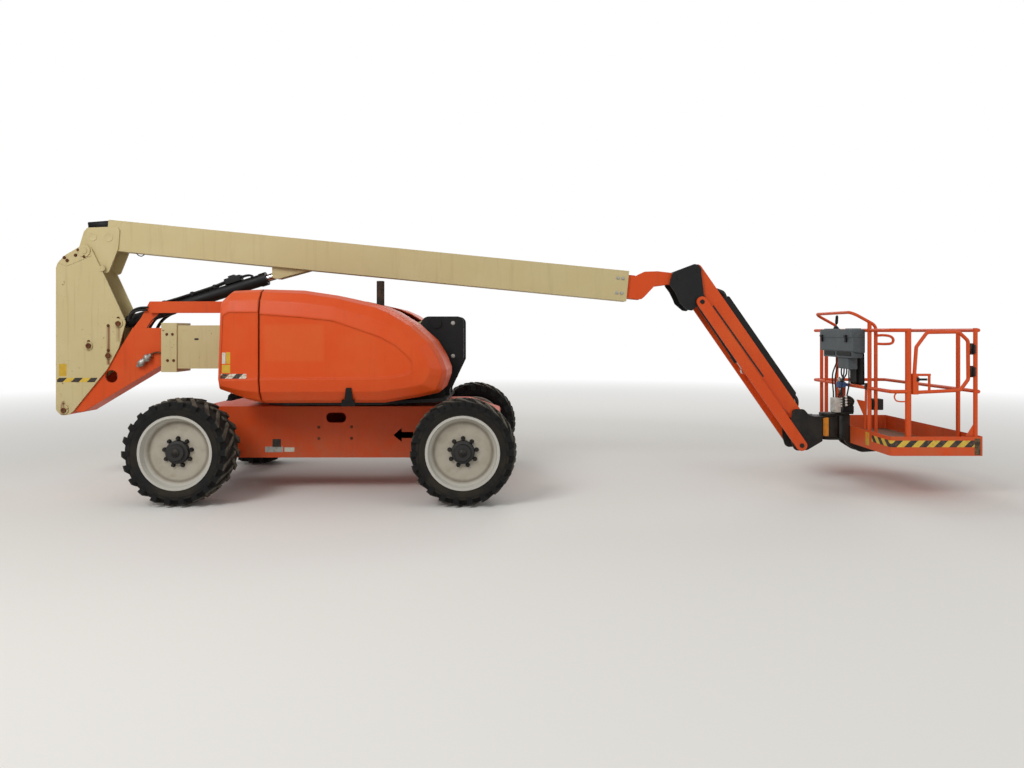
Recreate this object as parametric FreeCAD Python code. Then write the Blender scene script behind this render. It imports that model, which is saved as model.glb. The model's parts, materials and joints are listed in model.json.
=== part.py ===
"""Articulating boom lift with a telescopic tower, an upright, a telescopic main boom, a jib and a platform.

Frame: +X towards the platform, +Y to the machine's far side, +Z up, in millimetres.
Side outlines are (x, z, corner radius) tables drawn on the XZ plane and extruded along Y.
Their x is taken from the middle of the platform's and chassis' layout, and ORIGIN_SHIFT moves the whole
machine so that the origin is on the ground under the middle of its outer box.
"""
import FreeCAD
import Part
import math
import os

V = FreeCAD.Vector
X_AXIS = V(1, 0, 0)
Y_AXIS = V(0, 1, 0)
Z_AXIS = V(0, 0, 1)

# General fits
RUNNING_GAP = 6.0  # between pieces that turn past each other
SEAT_GAP = 0.3  # between pieces of different bodies that touch
PIN_GAP = 0.4  # between a pin and its eye

# Wheels
WHEELBASE = 2490.0
OVERALL_WIDTH = 2490.0
SWING_X = -1538.0  # swing axis, which is also the middle of the wheelbase
TYRE_DIAMETER = 940.0
TYRE_WIDTH = 355.0
RIM_DIAMETER = 625.0
RIM_LIP = 18.0  # height of the rim's edge above the bead seat
BEAD_INSET = 46.0  # bead inboard of the tyre's side
LUG_COUNT = 22  # on each half of the tread
LUG_HEIGHT = 26.0
LUG_WIDTH = 52.0
LUG_TIP_WIDTH = 32.0  # at the tyre's middle
LUG_SWEEP = 14.0  # degrees that a lug turns round the tyre from shoulder to centre
SHOULDER_DROP = 16.0  # a lug's outer end below its inner end
DISC_RECESS = 95.0
DISC_THICKNESS = 16.0
HUB_DIAMETER = 206.0
HUB_REACH = 66.0  # hub's cap outboard of the disc
HUB_DEPTH = 120.0  # hub's drum inboard of the disc
NUT_CIRCLE = 240.0
NUT_COUNT = 9
NUT_RADIUS = 13.0
WHEEL_RADIUS = TYRE_DIAMETER / 2
TRACK_HALF = (OVERALL_WIDTH - TYRE_WIDTH) / 2
STEER_X = SWING_X - WHEELBASE / 2
DRIVE_X = SWING_X + WHEELBASE / 2

# Chassis and axles
CHASSIS_WIDTH = 1120.0
CHASSIS_BOTTOM = 325.0
CHASSIS_TOP = 812.0
CHASSIS_OVERHANG = 300.0  # past each axle
FRAME_PLATE = 14.0
AXLE_NOTCH = 340.0  # width of the cut in the chassis over an axle
AXLE_TOP_GAP = 40.0  # room between the axle housing and the roof of its notch
AXLE_TUBE = 150.0  # square section of an axle housing
KINGPIN_INSET = 215.0  # kingpin axis inboard of the tyre's middle
KINGPIN_RADIUS = 26.0
YOKE_PLATE = 30.0
YOKE_HALF = 60.0
STEER_ARM = 170.0
STEER_PLATE = 26.0
TIE_ROD_DIAMETER = 36.0
TIE_HEAD_RADIUS = 28.0
TIE_PIN_RADIUS = 14.0
LASHING_HOLE = 50.0
LASHING_PLATE = 24.0
LASHING_REACH = 92.0
LASHING_Y = 380.0
LASHING_Z = CHASSIS_BOTTOM + 195.0
KINGPIN_Y = TRACK_HALF - KINGPIN_INSET
HUB_BACK_Y = TRACK_HALF + TYRE_WIDTH / 2 - DISC_RECESS - HUB_DEPTH  # inner face of a hub

# Tower
TOWER_WIDTH = 306.0
TOWER_HEIGHT = 434.0
TOWER_BOTTOM = 1152.0
TOWER_WALL = 10.0
TOWER_PIVOT_X = SWING_X + 918.0
TOWER_PIVOT_Z = 1610.0
TOWER_END_X = -3382.0
TOWER_RISE = 70.0  # degrees
TOWER_STROKE = 1800.0
COLLAR_LENGTH = 156.0
FLY_GAP = 16.0  # between a telescoping section and the one that holds it
PIN_RADIUS = 32.0
BOSS_RADIUS = 62.0
TOWER_MID_Z = TOWER_BOTTOM + TOWER_HEIGHT / 2
FLY_WIDTH = TOWER_WIDTH - 2 * (TOWER_WALL + FLY_GAP)
FLY_HEIGHT = TOWER_HEIGHT - 2 * (TOWER_WALL + FLY_GAP)
HOSE_ARM_BOTTOM = 1711.0
HOSE_ARM_TOP = 1826.0
HOSE_ARM_INNER = 80.0  # the hose arm's inner face from the middle plane

# Turntable
BEARING_DIAMETER = 980.0
BEARING_HEIGHT = 46.0
TABLE_PLATE = 30.0
TABLE_REAR = 900.0
TABLE_HALF = 925.0
SIDE_PLATE = 22.0
TABLE_Z = CHASSIS_TOP + BEARING_HEIGHT
DECK_Z = TABLE_Z + TABLE_PLATE
UPSTAND_Y = TOWER_WIDTH / 2 + RUNNING_GAP + 10
PANEL_Y = 352.0  # upright sheets beside the tower
PANEL_SHEET = 6.0

# Cowls
HOOD_INNER_Y = 400.0
HOOD_SIDE_Y = 1160.0
HOOD_SHOULDER = 160.0  # depth of the rounded shoulder between a cowl's side and its top
HOOD_WALL = 12.0
HOOD_RECESS = 5.0  # the side panel lies this far inside the shoulder's edge
HOOD_SPLIT_X = -2078.0
HOOD_SEAM = 14.0
TAIL_X = -2460.0
HOOD_OPENING = 58.0  # degrees
HOOD_HINGE_Y = 378.0
HOOD_HINGE_Z = 1882.0
HINGE_STATIONS = (-2050.0, -1800.0)
HINGE_LENGTH = 90.0
HINGE_RADIUS = 11.0
HINGE_PIN = 6.0
HINGE_GAP = 0.06
EXHAUST_X = -1160.0
EXHAUST_Y = -300.0
EXHAUST_TOP = 2020.0
EXHAUST_RADIUS = 38.0

# Upright
UPRIGHT_WIDTH = 290.0
UPRIGHT_PLATE = 12.0
UPRIGHT_REAR_X = -4450.0
UPRIGHT_INSIDE = UPRIGHT_WIDTH / 2 - UPRIGHT_PLATE
UPRIGHT_FOOT = (-4372.0, 742.0)  # pin that joins the upright to the tower's end
UPRIGHT_CROSS_PIN = (-4121.0, 1381.0)
BOOM_PIVOT = (-4163.0, 2336.0)

# Main boom
BOOM_SLOPE = 5.63  # degrees down towards the platform
BOOM_ROOT = (-3944.0, 2500.0)  # middle of the tube at its root end
BOOM_LENGTH = 5273.0
BOOM_HEIGHT = 306.0
BOOM_WIDTH = 226.0
BOOM_WALL = 8.0
BOOM_RISE = 75.0
BOOM_STROKE = 3900.0
ROOT_PLATE_SHEET = 12.0
MAIN_FLY_HEIGHT = 232.0
MAIN_FLY_WIDTH = BOOM_WIDTH - 2 * (BOOM_WALL + FLY_GAP)
FLY_INSIDE = 4810.0  # length of the fly inside the boom when stowed
NOSE_PLATE = 12.0

# Jib and carrier
JIB_NOSE = (1823.0, 2064.0)  # pin that joins the knuckle to the nose of the fly
JIB_TOP_PIN = (2017.0, 2142.0)
LINK_TOP_PIN = (2044.0, 1822.0)
JIB_REACH = (999.0, -1442.0)  # from the upper pins to the lower pins, stowed
JIB_UP = 122.0
JIB_DOWN = 4.0
JIB_OVER = 50.0  # the arm's upper face from the line of its pins
JIB_UNDER = 92.0  # the arm's lower face from the same line
JIB_WIDTH = 200.0
JIB_WALL = 8.0
JIB_PIN_RADIUS = 26.0
LINK_PIN_RADIUS = 22.0
LINK_DEPTH = 108.0
LINK_THICKNESS = 26.0
KNUCKLE_PLATE = 16.0
KNUCKLE_INSIDE = 232.0  # room between the knuckle's plates
HOSE_COVER_DEPTH = 68.0
HOSE_COVER_RUN = (372.0, 1619.0)  # along the arm
HOSE_COVER_SHEET = 6.0
JIB_CYLINDER_EYE = (1120.0, -172.0)  # in the arm's own frame
JIB_FOOT_PIN = (JIB_TOP_PIN[0] + JIB_REACH[0], JIB_TOP_PIN[1] + JIB_REACH[1])
LINK_FOOT_PIN = (LINK_TOP_PIN[0] + JIB_REACH[0], LINK_TOP_PIN[1] + JIB_REACH[1])
JIB_LENGTH = math.hypot(*JIB_REACH)
JIB_SLOPE = -math.degrees(math.atan2(JIB_REACH[1], JIB_REACH[0]))
PLATE_OUT = KNUCKLE_INSIDE / 2 + KNUCKLE_PLATE
LINK_INNER = PLATE_OUT + RUNNING_GAP
ROTATOR_X = 3380.0
ROTATOR_RADIUS = 95.0
ROTATOR_SHAFT = 34.0
CARRIER_Z0 = 455.0
CARRIER_Z1 = 665.0

# Platform
PLATFORM_X0 = 3560.0
PLATFORM_X1 = 4407.0
PLATFORM_HALF = 915.0
PLATFORM_BOTTOM = 397.0
TOE_HEIGHT = 175.0
TOE_THICKNESS = 4.0
FLOOR_SHEET = 24.0
RAIL_TOP = 1552.0
RAIL_MIDDLE = 977.0
RAIL_RADIUS = 17.0
RAIL_BEND = 34.0
POST_RADIUS = 19.0
RAIL_X0 = PLATFORM_X0 + TOE_THICKNESS + POST_RADIUS + SEAT_GAP
RAIL_X1 = PLATFORM_X1 - TOE_THICKNESS - POST_RADIUS - SEAT_GAP
RAIL_Y = PLATFORM_HALF - TOE_THICKNESS - POST_RADIUS - SEAT_GAP
NEAR_POST_X = 3736.0
GATE_POST_X = 4343.0
HOOP_Y = (-457.0, 430.0)
HOOP_TOP = 1710.0  # middle of the tube
HOOP_RADIUS = 15.0
HOOP_BEND_Z = 1580.0
HOOP_FRONT_X = 3410.0
HOOP_LEG_X = 3646.0
GATE_HINGE_X = 4306.0
GATE_HINGE_Z = (1160.0, 1365.0)
GATE_PIN = 7.0
GATE_KNUCKLE = 44.0
GATE_TUBE = 16.0

# Cylinders: base pin, rod eye, barrel radius, rod radius, pin radius, half width of the eyes, room at a pin
TOWER_CYLINDER_BASE = (-1080.0, 960.0)
TOWER_CYLINDER_EYE = (-2300.0, 1085.0)
MAIN_CYLINDER_BASE = (-3822.0, 1610.0)
MAIN_CYLINDER_EYE = (-2256.0, 2104.0)
ORIGIN_SHIFT = -(UPRIGHT_REAR_X + PLATFORM_X1) / 2


def box(x0, x1, y0, y1, z0, z1):
    """A block between two corners."""
    return Part.makeBox(x1 - x0, y1 - y0, z1 - z0, V(x0, y0, z0))


def rod(start, end, radius):
    """A round bar between two points."""
    a, b = V(*start), V(*end)
    return Part.makeCylinder(radius, (b - a).Length, a, b - a)


def pin_y(point, y0, y1, radius):
    """A round bar along Y through a point (x, z)."""
    return Part.makeCylinder(radius, y1 - y0, V(point[0], y0, point[1]), Y_AXIS)


def outline(table, to_point):
    """A closed wire through (a, b, radius) corners, each rounded by an arc of its radius."""
    edges = []
    count = len(table)
    starts, ends, arcs = [], [], []
    for i, (a, b, radius) in enumerate(table):
        before, after = table[i - 1], table[(i + 1) % count]
        here = V(a, b, 0)
        back = V(before[0], before[1], 0) - here
        on = V(after[0], after[1], 0) - here
        if radius <= 0:
            starts.append(here)
            ends.append(here)
            arcs.append(None)
            continue
        half = back.getAngle(on) / 2
        run = radius / math.tan(half)
        back.normalize()
        on.normalize()
        first, last = here + back * run, here + on * run
        towards = back + on
        towards.normalize()
        middle = here + towards * (radius / math.sin(half) - radius)
        starts.append(first)
        ends.append(last)
        arcs.append(middle)
    for i in range(count):
        if arcs[i] is not None:
            edges.append(Part.Arc(*[to_point(p) for p in (starts[i], arcs[i], ends[i])]).toShape())
        following = starts[(i + 1) % count]
        if (following - ends[i]).Length > 1e-4:
            edges.append(Part.LineSegment(to_point(ends[i]), to_point(following)).toShape())
    return Part.Wire(edges)


def plate_xz(table, y0, y1):
    """A plate whose side outline is a table of (x, z, radius), between two Y planes."""
    wire = outline(table, lambda p: V(p.x, y0, p.y))
    return Part.Face(wire).extrude(V(0, y1 - y0, 0))


def plate_xy(table, z0, z1):
    """A plate whose outline is a table of (x, y, radius), between two Z planes."""
    wire = outline(table, lambda p: V(p.x, p.y, z0))
    return Part.Face(wire).extrude(V(0, 0, z1 - z0))


def join(*shapes):
    """One shape fused from several."""
    fused = shapes[0].multiFuse(list(shapes[1:])) if len(shapes) > 1 else shapes[0]
    return fused.removeSplitter()


def group(*shapes):
    """Solids that share a node and don't touch."""
    return Part.makeCompound([solid for shape in shapes for solid in shape.Solids])


def cut(shape, *tools):
    """A shape less its tools."""
    for tool in tools:
        shape = shape.cut(tool)
    return shape


def both_sides(make):
    """What make(side) gives for the near side, -1, and the far side, +1."""
    return [make(side) for side in (-1, 1)]


def span(side, inner, outer):
    """The low and high Y of a piece that lies from inner to outer on one side."""
    return (inner, outer) if side > 0 else (-outer, -inner)


def polyhedron(corners, faces):
    """A solid of flat faces, each a tuple of indices into corners."""
    sides = []
    for face in faces:
        loop = [corners[i] for i in face]
        sides.append(Part.Face(Part.makePolygon(loop + [loop[0]])))
    solid = Part.Solid(Part.Shell(sides))
    if solid.Volume < 0:
        solid.reverse()
    return solid


def bent_tube(points, radius, bend):
    """A round tube along straight runs joined by arcs of one bend radius."""
    nodes = [V(*p) for p in points]
    edges, last = [], nodes[0]
    for before, here, after in zip(nodes, nodes[1:], nodes[2:]):
        back, on = before - here, after - here
        half = back.getAngle(on) / 2
        run = bend / math.tan(half)
        back.normalize()
        on.normalize()
        towards = back + on
        towards.normalize()
        first = here + back * run
        middle = here + towards * (bend / math.sin(half) - bend)
        edges.append(Part.LineSegment(last, first).toShape())
        edges.append(Part.Arc(first, middle, here + on * run).toShape())
        last = here + on * run
    edges.append(Part.LineSegment(last, nodes[-1]).toShape())
    path = Part.Wire(edges)
    direction = nodes[1] - nodes[0]
    ring = Part.Wire(Part.makeCircle(radius, nodes[0], direction))
    return path.makePipeShell([ring], True, False)


def turned(point, about, degrees):
    """A point (x, z) turned about another, positive from +X towards +Z."""
    angle = math.radians(degrees)
    dx, dz = point[0] - about[0], point[1] - about[1]
    cosine, sine = math.cos(angle), math.sin(angle)
    return (about[0] + dx * cosine - dz * sine, about[1] + dx * sine + dz * cosine)


# Wheels: side is -1 for the near side and +1 for the far side, and outward faces point that way


def wheel_places():
    """Name, x and side of each wheel."""
    return [
        ("steer_near", STEER_X, -1),
        ("steer_far", STEER_X, 1),
        ("drive_near", DRIVE_X, -1),
        ("drive_far", DRIVE_X, 1),
    ]


def revolve_wheel(table, x, side):
    """Turns a table of (radius, distance outboard of the tyre's middle, corner radius) about the axle."""
    centre_y = side * TRACK_HALF
    wire = outline(table, lambda p: V(x, centre_y + side * p.y, WHEEL_RADIUS + p.x))
    return Part.Face(wire).revolve(V(x, 0, WHEEL_RADIUS), Y_AXIS, 360)


def round_the_axle(radius, outboard, angle):
    """A point of a wheel at the origin, by radius, distance outboard and angle from the bottom."""
    return V(radius * math.sin(angle), outboard, -radius * math.cos(angle))


def tyre(x, side):
    """Low-profile tyre: a carcass of flat strips, two to each lug pitch, that carries slanting lugs."""
    half = TYRE_WIDTH / 2
    tread = WHEEL_RADIUS - LUG_HEIGHT
    strips = 2 * LUG_COUNT
    seat = RIM_DIAMETER / 2 / math.cos(math.pi / strips)
    bead = half - BEAD_INSET
    # radius and distance outboard of each ring of the carcass
    section = [
        (seat, bead),
        (seat + 30, half - 14),
        (tread - 60, half - 2),
        (tread, half - 44),
        (tread, -half + 44),
        (tread - 60, -half + 2),
        (seat + 30, -half + 14),
        (seat, -bead),
    ]
    corners = []
    for radius, outboard in section:
        for i in range(strips):
            corners.append(round_the_axle(radius, outboard, 2 * math.pi * (i + 0.5) / strips))
    faces = []
    for ring in range(len(section)):
        low, high = ring * strips, ((ring + 1) % len(section)) * strips
        for i in range(strips):
            on = (i + 1) % strips
            faces.append((low + i, low + on, high + on, high + i))
    shapes = [polyhedron(corners, faces)]
    first = -math.radians(LUG_SWEEP) - LUG_TIP_WIDTH / 2 / WHEEL_RADIUS
    for i in range(LUG_COUNT):
        for face, shift in ((1, 0.0), (-1, 0.5)):
            shapes.append(lug(face, first + 2 * math.pi * (i + shift) / LUG_COUNT))
    body = join(*shapes)
    body.translate(V(x, side * TRACK_HALF, WHEEL_RADIUS))
    return body


def lug(face, start):
    """A slanting bar from the tyre's middle to its shoulder, on the half that face points to."""
    half = TYRE_WIDTH / 2
    root = WHEEL_RADIUS - LUG_HEIGHT - 30
    sweep = math.radians(LUG_SWEEP)
    # distance outboard, angle of the middle line, width, radius at the tip
    ends = (
        (-10.0, sweep, LUG_TIP_WIDTH, WHEEL_RADIUS),
        (half, 0.0, LUG_WIDTH, WHEEL_RADIUS - SHOULDER_DROP),
    )
    corners = []
    for outboard, angle, width, tip in ends:
        low = root if outboard < 0 else root - 26
        for radius in (low, tip):
            for edge in (-0.5, 0.5):
                around = start + angle + edge * width / WHEEL_RADIUS
                corners.append(round_the_axle(radius, face * outboard, around))
    quads = [(0, 1, 3, 2), (4, 6, 7, 5), (0, 2, 6, 4), (1, 5, 7, 3), (2, 3, 7, 6), (0, 4, 5, 1)]
    triangles = [(a, b, c) for a, b, c, d in quads] + [(a, c, d) for a, b, c, d in quads]
    return polyhedron(corners, triangles)


def rim(x, side):
    """Steel rim with its recessed disc, the nuts and the planetary hub, one turned piece."""
    half = TYRE_WIDTH / 2
    seat = RIM_DIAMETER / 2 - SEAT_GAP
    lip = seat + RIM_LIP
    disc_out = half - DISC_RECESS
    disc_in = disc_out - DISC_THICKNESS
    hub_radius = HUB_DIAMETER / 2
    body = revolve_wheel(
        [
            (0, disc_out - HUB_DEPTH, 0),
            (hub_radius - 14, disc_out - HUB_DEPTH, 0),
            (hub_radius - 10, disc_in - 40, 0),
            (hub_radius + 34, disc_in - 24, 0),
            (hub_radius + 34, disc_in, 0),
            (seat - 34, disc_in, 18),
            (seat - 26, -half + 44, 0),
            (seat - 8, -half + 30, 0),
            (seat - 8, -half + 22, 0),
            (seat, -half + 22, 0),
            (seat, half - 30, 0),
            (lip, half - 24, 0),
            (lip, half - 14, 0),
            (seat - 10, half - 14, 0),
            (seat - 22, disc_out + 26, 0),
            (seat - 44, disc_out, 14),
            (hub_radius, disc_out, 0),
            (hub_radius - 4, disc_out + 38, 0),
            (hub_radius - 26, disc_out + 44, 0),
            (hub_radius - 34, disc_out + HUB_REACH, 0),
            (0, disc_out + HUB_REACH, 0),
        ],
        x,
        side,
    )
    nuts = []
    for i in range(NUT_COUNT):
        angle = 2 * math.pi * i / NUT_COUNT
        centre = V(
            x + NUT_CIRCLE / 2 * math.sin(angle),
            side * (TRACK_HALF + disc_out - 1),
            WHEEL_RADIUS + NUT_CIRCLE / 2 * math.cos(angle),
        )
        nuts.append(Part.makeCylinder(NUT_RADIUS, 25, centre, V(0, side, 0)))
    return join(body, *nuts)


# Carrier


def chassis_frame():
    """Hollow welded frame with notches over the axles, an access hole and a lashing plate at each corner."""
    half = CHASSIS_WIDTH / 2
    x0, x1 = STEER_X - CHASSIS_OVERHANG, DRIVE_X + CHASSIS_OVERHANG
    side = [
        (x0, CHASSIS_BOTTOM + 120, 30),
        (x0 + 90, CHASSIS_BOTTOM, 30),
        (x1 - 90, CHASSIS_BOTTOM, 30),
        (x1, CHASSIS_BOTTOM + 120, 30),
        (x1, CHASSIS_TOP - 110, 30),
        (x1 - 330, CHASSIS_TOP, 40),
        (x0 + 330, CHASSIS_TOP, 40),
        (x0, CHASSIS_TOP - 110, 30),
    ]
    body = plate_xz(side, -half, half)
    inner_y = half - FRAME_PLATE
    # margin from the frame's ends, and the room's bottom and top
    rooms = [
        box(x0 + margin, x1 - margin, -inner_y, inner_y, bottom, top)
        for margin, bottom, top in (
            (60, CHASSIS_BOTTOM + 130, CHASSIS_TOP - 125),
            (140, CHASSIS_BOTTOM + FRAME_PLATE, CHASSIS_BOTTOM + 150),
            (340, CHASSIS_TOP - 150, CHASSIS_TOP - FRAME_PLATE),
        )
    ]
    body = body.cut(rooms[0].multiFuse(rooms[1:]))
    notch_top = WHEEL_RADIUS + AXLE_TUBE / 2 + AXLE_TOP_GAP
    for x, ahead in ((STEER_X, STEER_ARM + 70), (DRIVE_X, AXLE_NOTCH / 2)):
        body = body.cut(box(x - AXLE_NOTCH / 2, x + ahead, -half - 1, half + 1, 200, notch_top))
    hole = [
        (SWING_X - 95, 657, 47),
        (SWING_X + 95, 657, 47),
        (SWING_X + 95, 753, 47),
        (SWING_X - 95, 753, 47),
    ]
    body = body.cut(plate_xz(hole, -half - 1, half + 1))
    shapes = [body]
    for x in (STEER_X, DRIVE_X):
        seat, under_top = WHEEL_RADIUS + AXLE_TUBE / 2, CHASSIS_TOP - FRAME_PLATE + 1
        shapes.append(box(x - 90, x + 90, -170, 170, seat, under_top))
    bearing = V(SWING_X, 0, CHASSIS_TOP - 1)
    shapes.append(Part.makeCylinder(BEARING_DIAMETER / 2, BEARING_HEIGHT / 2 - SEAT_GAP + 1, bearing, Z_AXIS))
    for x, y in lashing_places():
        shapes.append(lashing_plate(x, y))
    return join(*shapes)


def lashing_places():
    """Centre (x, y) of each lashing hole."""
    x0, x1 = STEER_X - CHASSIS_OVERHANG, DRIVE_X + CHASSIS_OVERHANG
    return [(x, y) for x in (x0 - LASHING_REACH / 2, x1 + LASHING_REACH / 2) for y in (-LASHING_Y, LASHING_Y)]


def lashing_plate(x, y):
    """Level plate on the frame's end with a hole for a shackle's pin."""
    reach = 1 if x > SWING_X else -1
    root = x - reach * (LASHING_REACH / 2 + 4)
    tip = x + reach * LASHING_REACH / 2
    z0, z1 = LASHING_Z - LASHING_PLATE / 2, LASHING_Z + LASHING_PLATE / 2
    table = [(root, y - 60, 0), (tip, y - 50, 40), (tip, y + 50, 40), (root, y + 60, 0)]
    hole = Part.makeCylinder(LASHING_HOLE / 2, LASHING_PLATE + 2, V(x, y, z0 - 1), Z_AXIS)
    return plate_xy(table, z0, z1).cut(hole)


def steer_axle():
    """Square beam with a yoke at each end that holds a kingpin."""
    half = AXLE_TUBE / 2
    z = WHEEL_RADIUS
    shapes = [box(STEER_X - half, STEER_X + half, -KINGPIN_Y + 95, KINGPIN_Y - 95, z - half, z + half)]
    inner = half + RUNNING_GAP
    outer = inner + YOKE_PLATE
    for side in (-1, 1):
        y0, y1 = span(side, KINGPIN_Y - 130, KINGPIN_Y + 44)
        for z0, z1 in ((z + inner, z + outer), (z - outer, z - inner)):
            shapes.append(box(STEER_X - YOKE_HALF, STEER_X + YOKE_HALF, y0, y1, z0, z1))
        y0, y1 = span(side, KINGPIN_Y - 130, KINGPIN_Y - 95)
        shapes.append(box(STEER_X - YOKE_HALF, STEER_X + YOKE_HALF, y0, y1, z - outer, z + outer))
    body = join(*shapes)
    for side in (-1, 1):
        for z0 in (z + inner - 1, z - outer - 1):
            centre = V(STEER_X, side * KINGPIN_Y, z0)
            body = body.cut(Part.makeCylinder(KINGPIN_RADIUS + PIN_GAP, YOKE_PLATE + 2, centre, Z_AXIS))
    return body.removeSplitter()


def steer_plate_z():
    """Low and high Z of a steering arm, which lies under its yoke."""
    high = WHEEL_RADIUS - AXLE_TUBE / 2 - 2 * RUNNING_GAP - YOKE_PLATE
    return high - STEER_PLATE, high


def steer_knuckle(side):
    """Kingpin, spindle and steering arm of one steered wheel."""
    half = AXLE_TUBE / 2
    z = WHEEL_RADIUS
    low, high = steer_plate_z()
    y = side * KINGPIN_Y
    body = Part.makeCylinder(62, 2 * half, V(STEER_X, y, z - half), Z_AXIS)
    top = z + half + RUNNING_GAP + YOKE_PLATE + 6
    kingpin = Part.makeCylinder(KINGPIN_RADIUS, top - low, V(STEER_X, y, low), Z_AXIS)
    end_y = side * (HUB_BACK_Y - SEAT_GAP)
    spindle = rod((STEER_X, y, z), (STEER_X, end_y, z), 72)
    flange = rod((STEER_X, side * (HUB_BACK_Y - 36), z), (STEER_X, end_y, z), 92)
    tip_x = STEER_X + STEER_ARM
    arm = plate_xy(
        [
            (STEER_X - 40, y - 30, 20),
            (tip_x + TIE_HEAD_RADIUS, y - 26, 22),
            (tip_x + TIE_HEAD_RADIUS, y + 26, 22),
            (STEER_X - 40, y + 30, 20),
        ],
        low, high,
    )
    ball = Part.makeCylinder(TIE_PIN_RADIUS, 50, V(tip_x, y, low - 44), Z_AXIS)
    return join(body, kingpin, spindle, flange, arm, ball)


def tie_rod():
    """Bar between the two steering arms."""
    low, _ = steer_plate_z()
    x = STEER_X + STEER_ARM
    z = low - RUNNING_GAP - TIE_ROD_DIAMETER / 2
    head_z = z - TIE_ROD_DIAMETER / 2 + 2
    heads = []
    for side in (-1, 1):
        foot = V(x, side * KINGPIN_Y, head_z)
        heads.append(Part.makeCylinder(TIE_HEAD_RADIUS, TIE_ROD_DIAMETER - 4, foot, Z_AXIS))
    body = join(rod((x, -KINGPIN_Y + 10, z), (x, KINGPIN_Y - 10, z), TIE_ROD_DIAMETER / 2), *heads)
    for side in (-1, 1):
        eye = Part.makeCylinder(TIE_PIN_RADIUS + PIN_GAP, 80, V(x, side * KINGPIN_Y, z - 40), Z_AXIS)
        body = body.cut(eye)
    return body


def drive_axle():
    """Housing with a round differential case and a drum at each end."""
    half = AXLE_TUBE / 2
    z = WHEEL_RADIUS
    end = HUB_BACK_Y - SEAT_GAP
    shapes = [box(DRIVE_X - half, DRIVE_X + half, -end + 140, end - 140, z - half, z + half)]
    case = rod((DRIVE_X, -90, z), (DRIVE_X, 90, z), 128)
    shapes.append(case.cut(box(DRIVE_X - 200, DRIVE_X + 200, -200, 200, z + half, z + 300)))
    for side in (-1, 1):
        for reach, radius in ((142, 96), (40, 118)):
            shapes.append(rod((DRIVE_X, side * (end - reach), z), (DRIVE_X, side * end, z), radius))
    return join(*shapes)


# Turntable


def turntable_frame():
    """Deck, bearing ring, the upstands between which the tower turns and the sheets beside it."""
    ring = Part.makeCylinder(
        BEARING_DIAMETER / 2 - 30, BEARING_HEIGHT / 2, V(SWING_X, 0, CHASSIS_TOP + BEARING_HEIGHT / 2), Z_AXIS
    )
    rear = SWING_X - TABLE_REAR
    deck = plate_xy(
        [
            (rear, -390, 60),
            (HOOD_SPLIT_X, -390, 0),
            (HOOD_SPLIT_X, -860, 0),
            (SWING_X - 400, -TABLE_HALF, 80),
            (SWING_X + 480, -TABLE_HALF, 80),
            (SWING_X + 1050, -520, 60),
            (SWING_X + 1050, 520, 60),
            (SWING_X + 480, TABLE_HALF, 80),
            (SWING_X - 400, TABLE_HALF, 80),
            (HOOD_SPLIT_X, 860, 0),
            (HOOD_SPLIT_X, 390, 0),
            (rear, 390, 60),
        ],
        TABLE_Z, DECK_Z,
    )
    side = [
        (-2235, DECK_Z - 1, 0),
        (-489, DECK_Z - 1, 0),
        (-489, 944, 30),
        (-348, 1240, 40),
        (-348, 1675, 62),
        (-742, 1675, 80),
        (-980, 1230, 120),
        (-1500, 1085, 60),
        (-2235, 1060, 40),
    ]
    pivot = (TOWER_PIVOT_X, TOWER_PIVOT_Z)
    parts = [ring, deck]
    for face in (-1, 1):
        y0, y1 = span(face, UPSTAND_Y, UPSTAND_Y + SIDE_PLATE)
        parts.append(plate_xz(side, y0, y1))
        y0, y1 = span(face, UPSTAND_Y + SIDE_PLATE - 1, UPSTAND_Y + SIDE_PLATE + 22)
        parts.append(pin_y(pivot, y0, y1, 52))
        parts.append(inner_panel(face))
    parts.append(box(-385, -363, -UPSTAND_Y - 1, UPSTAND_Y + 1, 1250, 1560))
    parts.append(box(-520, -500, -UPSTAND_Y - 1, UPSTAND_Y + 1, DECK_Z - 1, 1080))
    reach = UPSTAND_Y + SIDE_PLATE + 26
    parts.append(pin_y(pivot, -reach, reach, PIN_RADIUS))
    parts.append(pin_y(TOWER_CYLINDER_BASE, -UPSTAND_Y - 2, UPSTAND_Y + 2, 30))
    return join(*parts)


def inner_panel(side):
    """Upright sheet between a flank's cowl and the tower, with hinge ears along its top."""
    low, high = span(side, PANEL_Y, PANEL_Y + PANEL_SHEET)
    table = [
        (-2420, DECK_Z + 190, 20),
        (-2380, 1850, 60),
        (-1500, 1840, 200),
        (-900, 1640, 200),
        (-560, 1360, 100),
        (-520, DECK_Z - 1, 0),
        (-2040, DECK_Z - 1, 0),
        (-2040, DECK_Z + 190, 0),
    ]
    parts = [plate_xz(table, low, high)]
    for x in HINGE_STATIONS:
        ear_low, ear_high = span(side, PANEL_Y, HOOD_HINGE_Y)
        for x0 in (x - 12, x + HINGE_LENGTH + 2):
            bottom, top = HOOD_HINGE_Z - HINGE_RADIUS, HOOD_HINGE_Z + HINGE_RADIUS
            parts.append(box(x0, x0 + 10, ear_low, ear_high, bottom, top))
            parts.append(rod(hinge_point(x0, side), hinge_point(x0 + 10, side), HINGE_RADIUS))
        parts.append(rod(hinge_point(x - 12, side), hinge_point(x + HINGE_LENGTH + 12, side), HINGE_PIN))
        foot, top = HOOD_HINGE_Z - 90, HOOD_HINGE_Z + HINGE_RADIUS
        parts.append(box(x - 20, x + HINGE_LENGTH + 20, low, high, foot, top))
    return join(*parts)


def hinge_point(x, side):
    """A point on the axis of one hood's hinges."""
    return (x, side * HOOD_HINGE_Y, HOOD_HINGE_Z)


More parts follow.
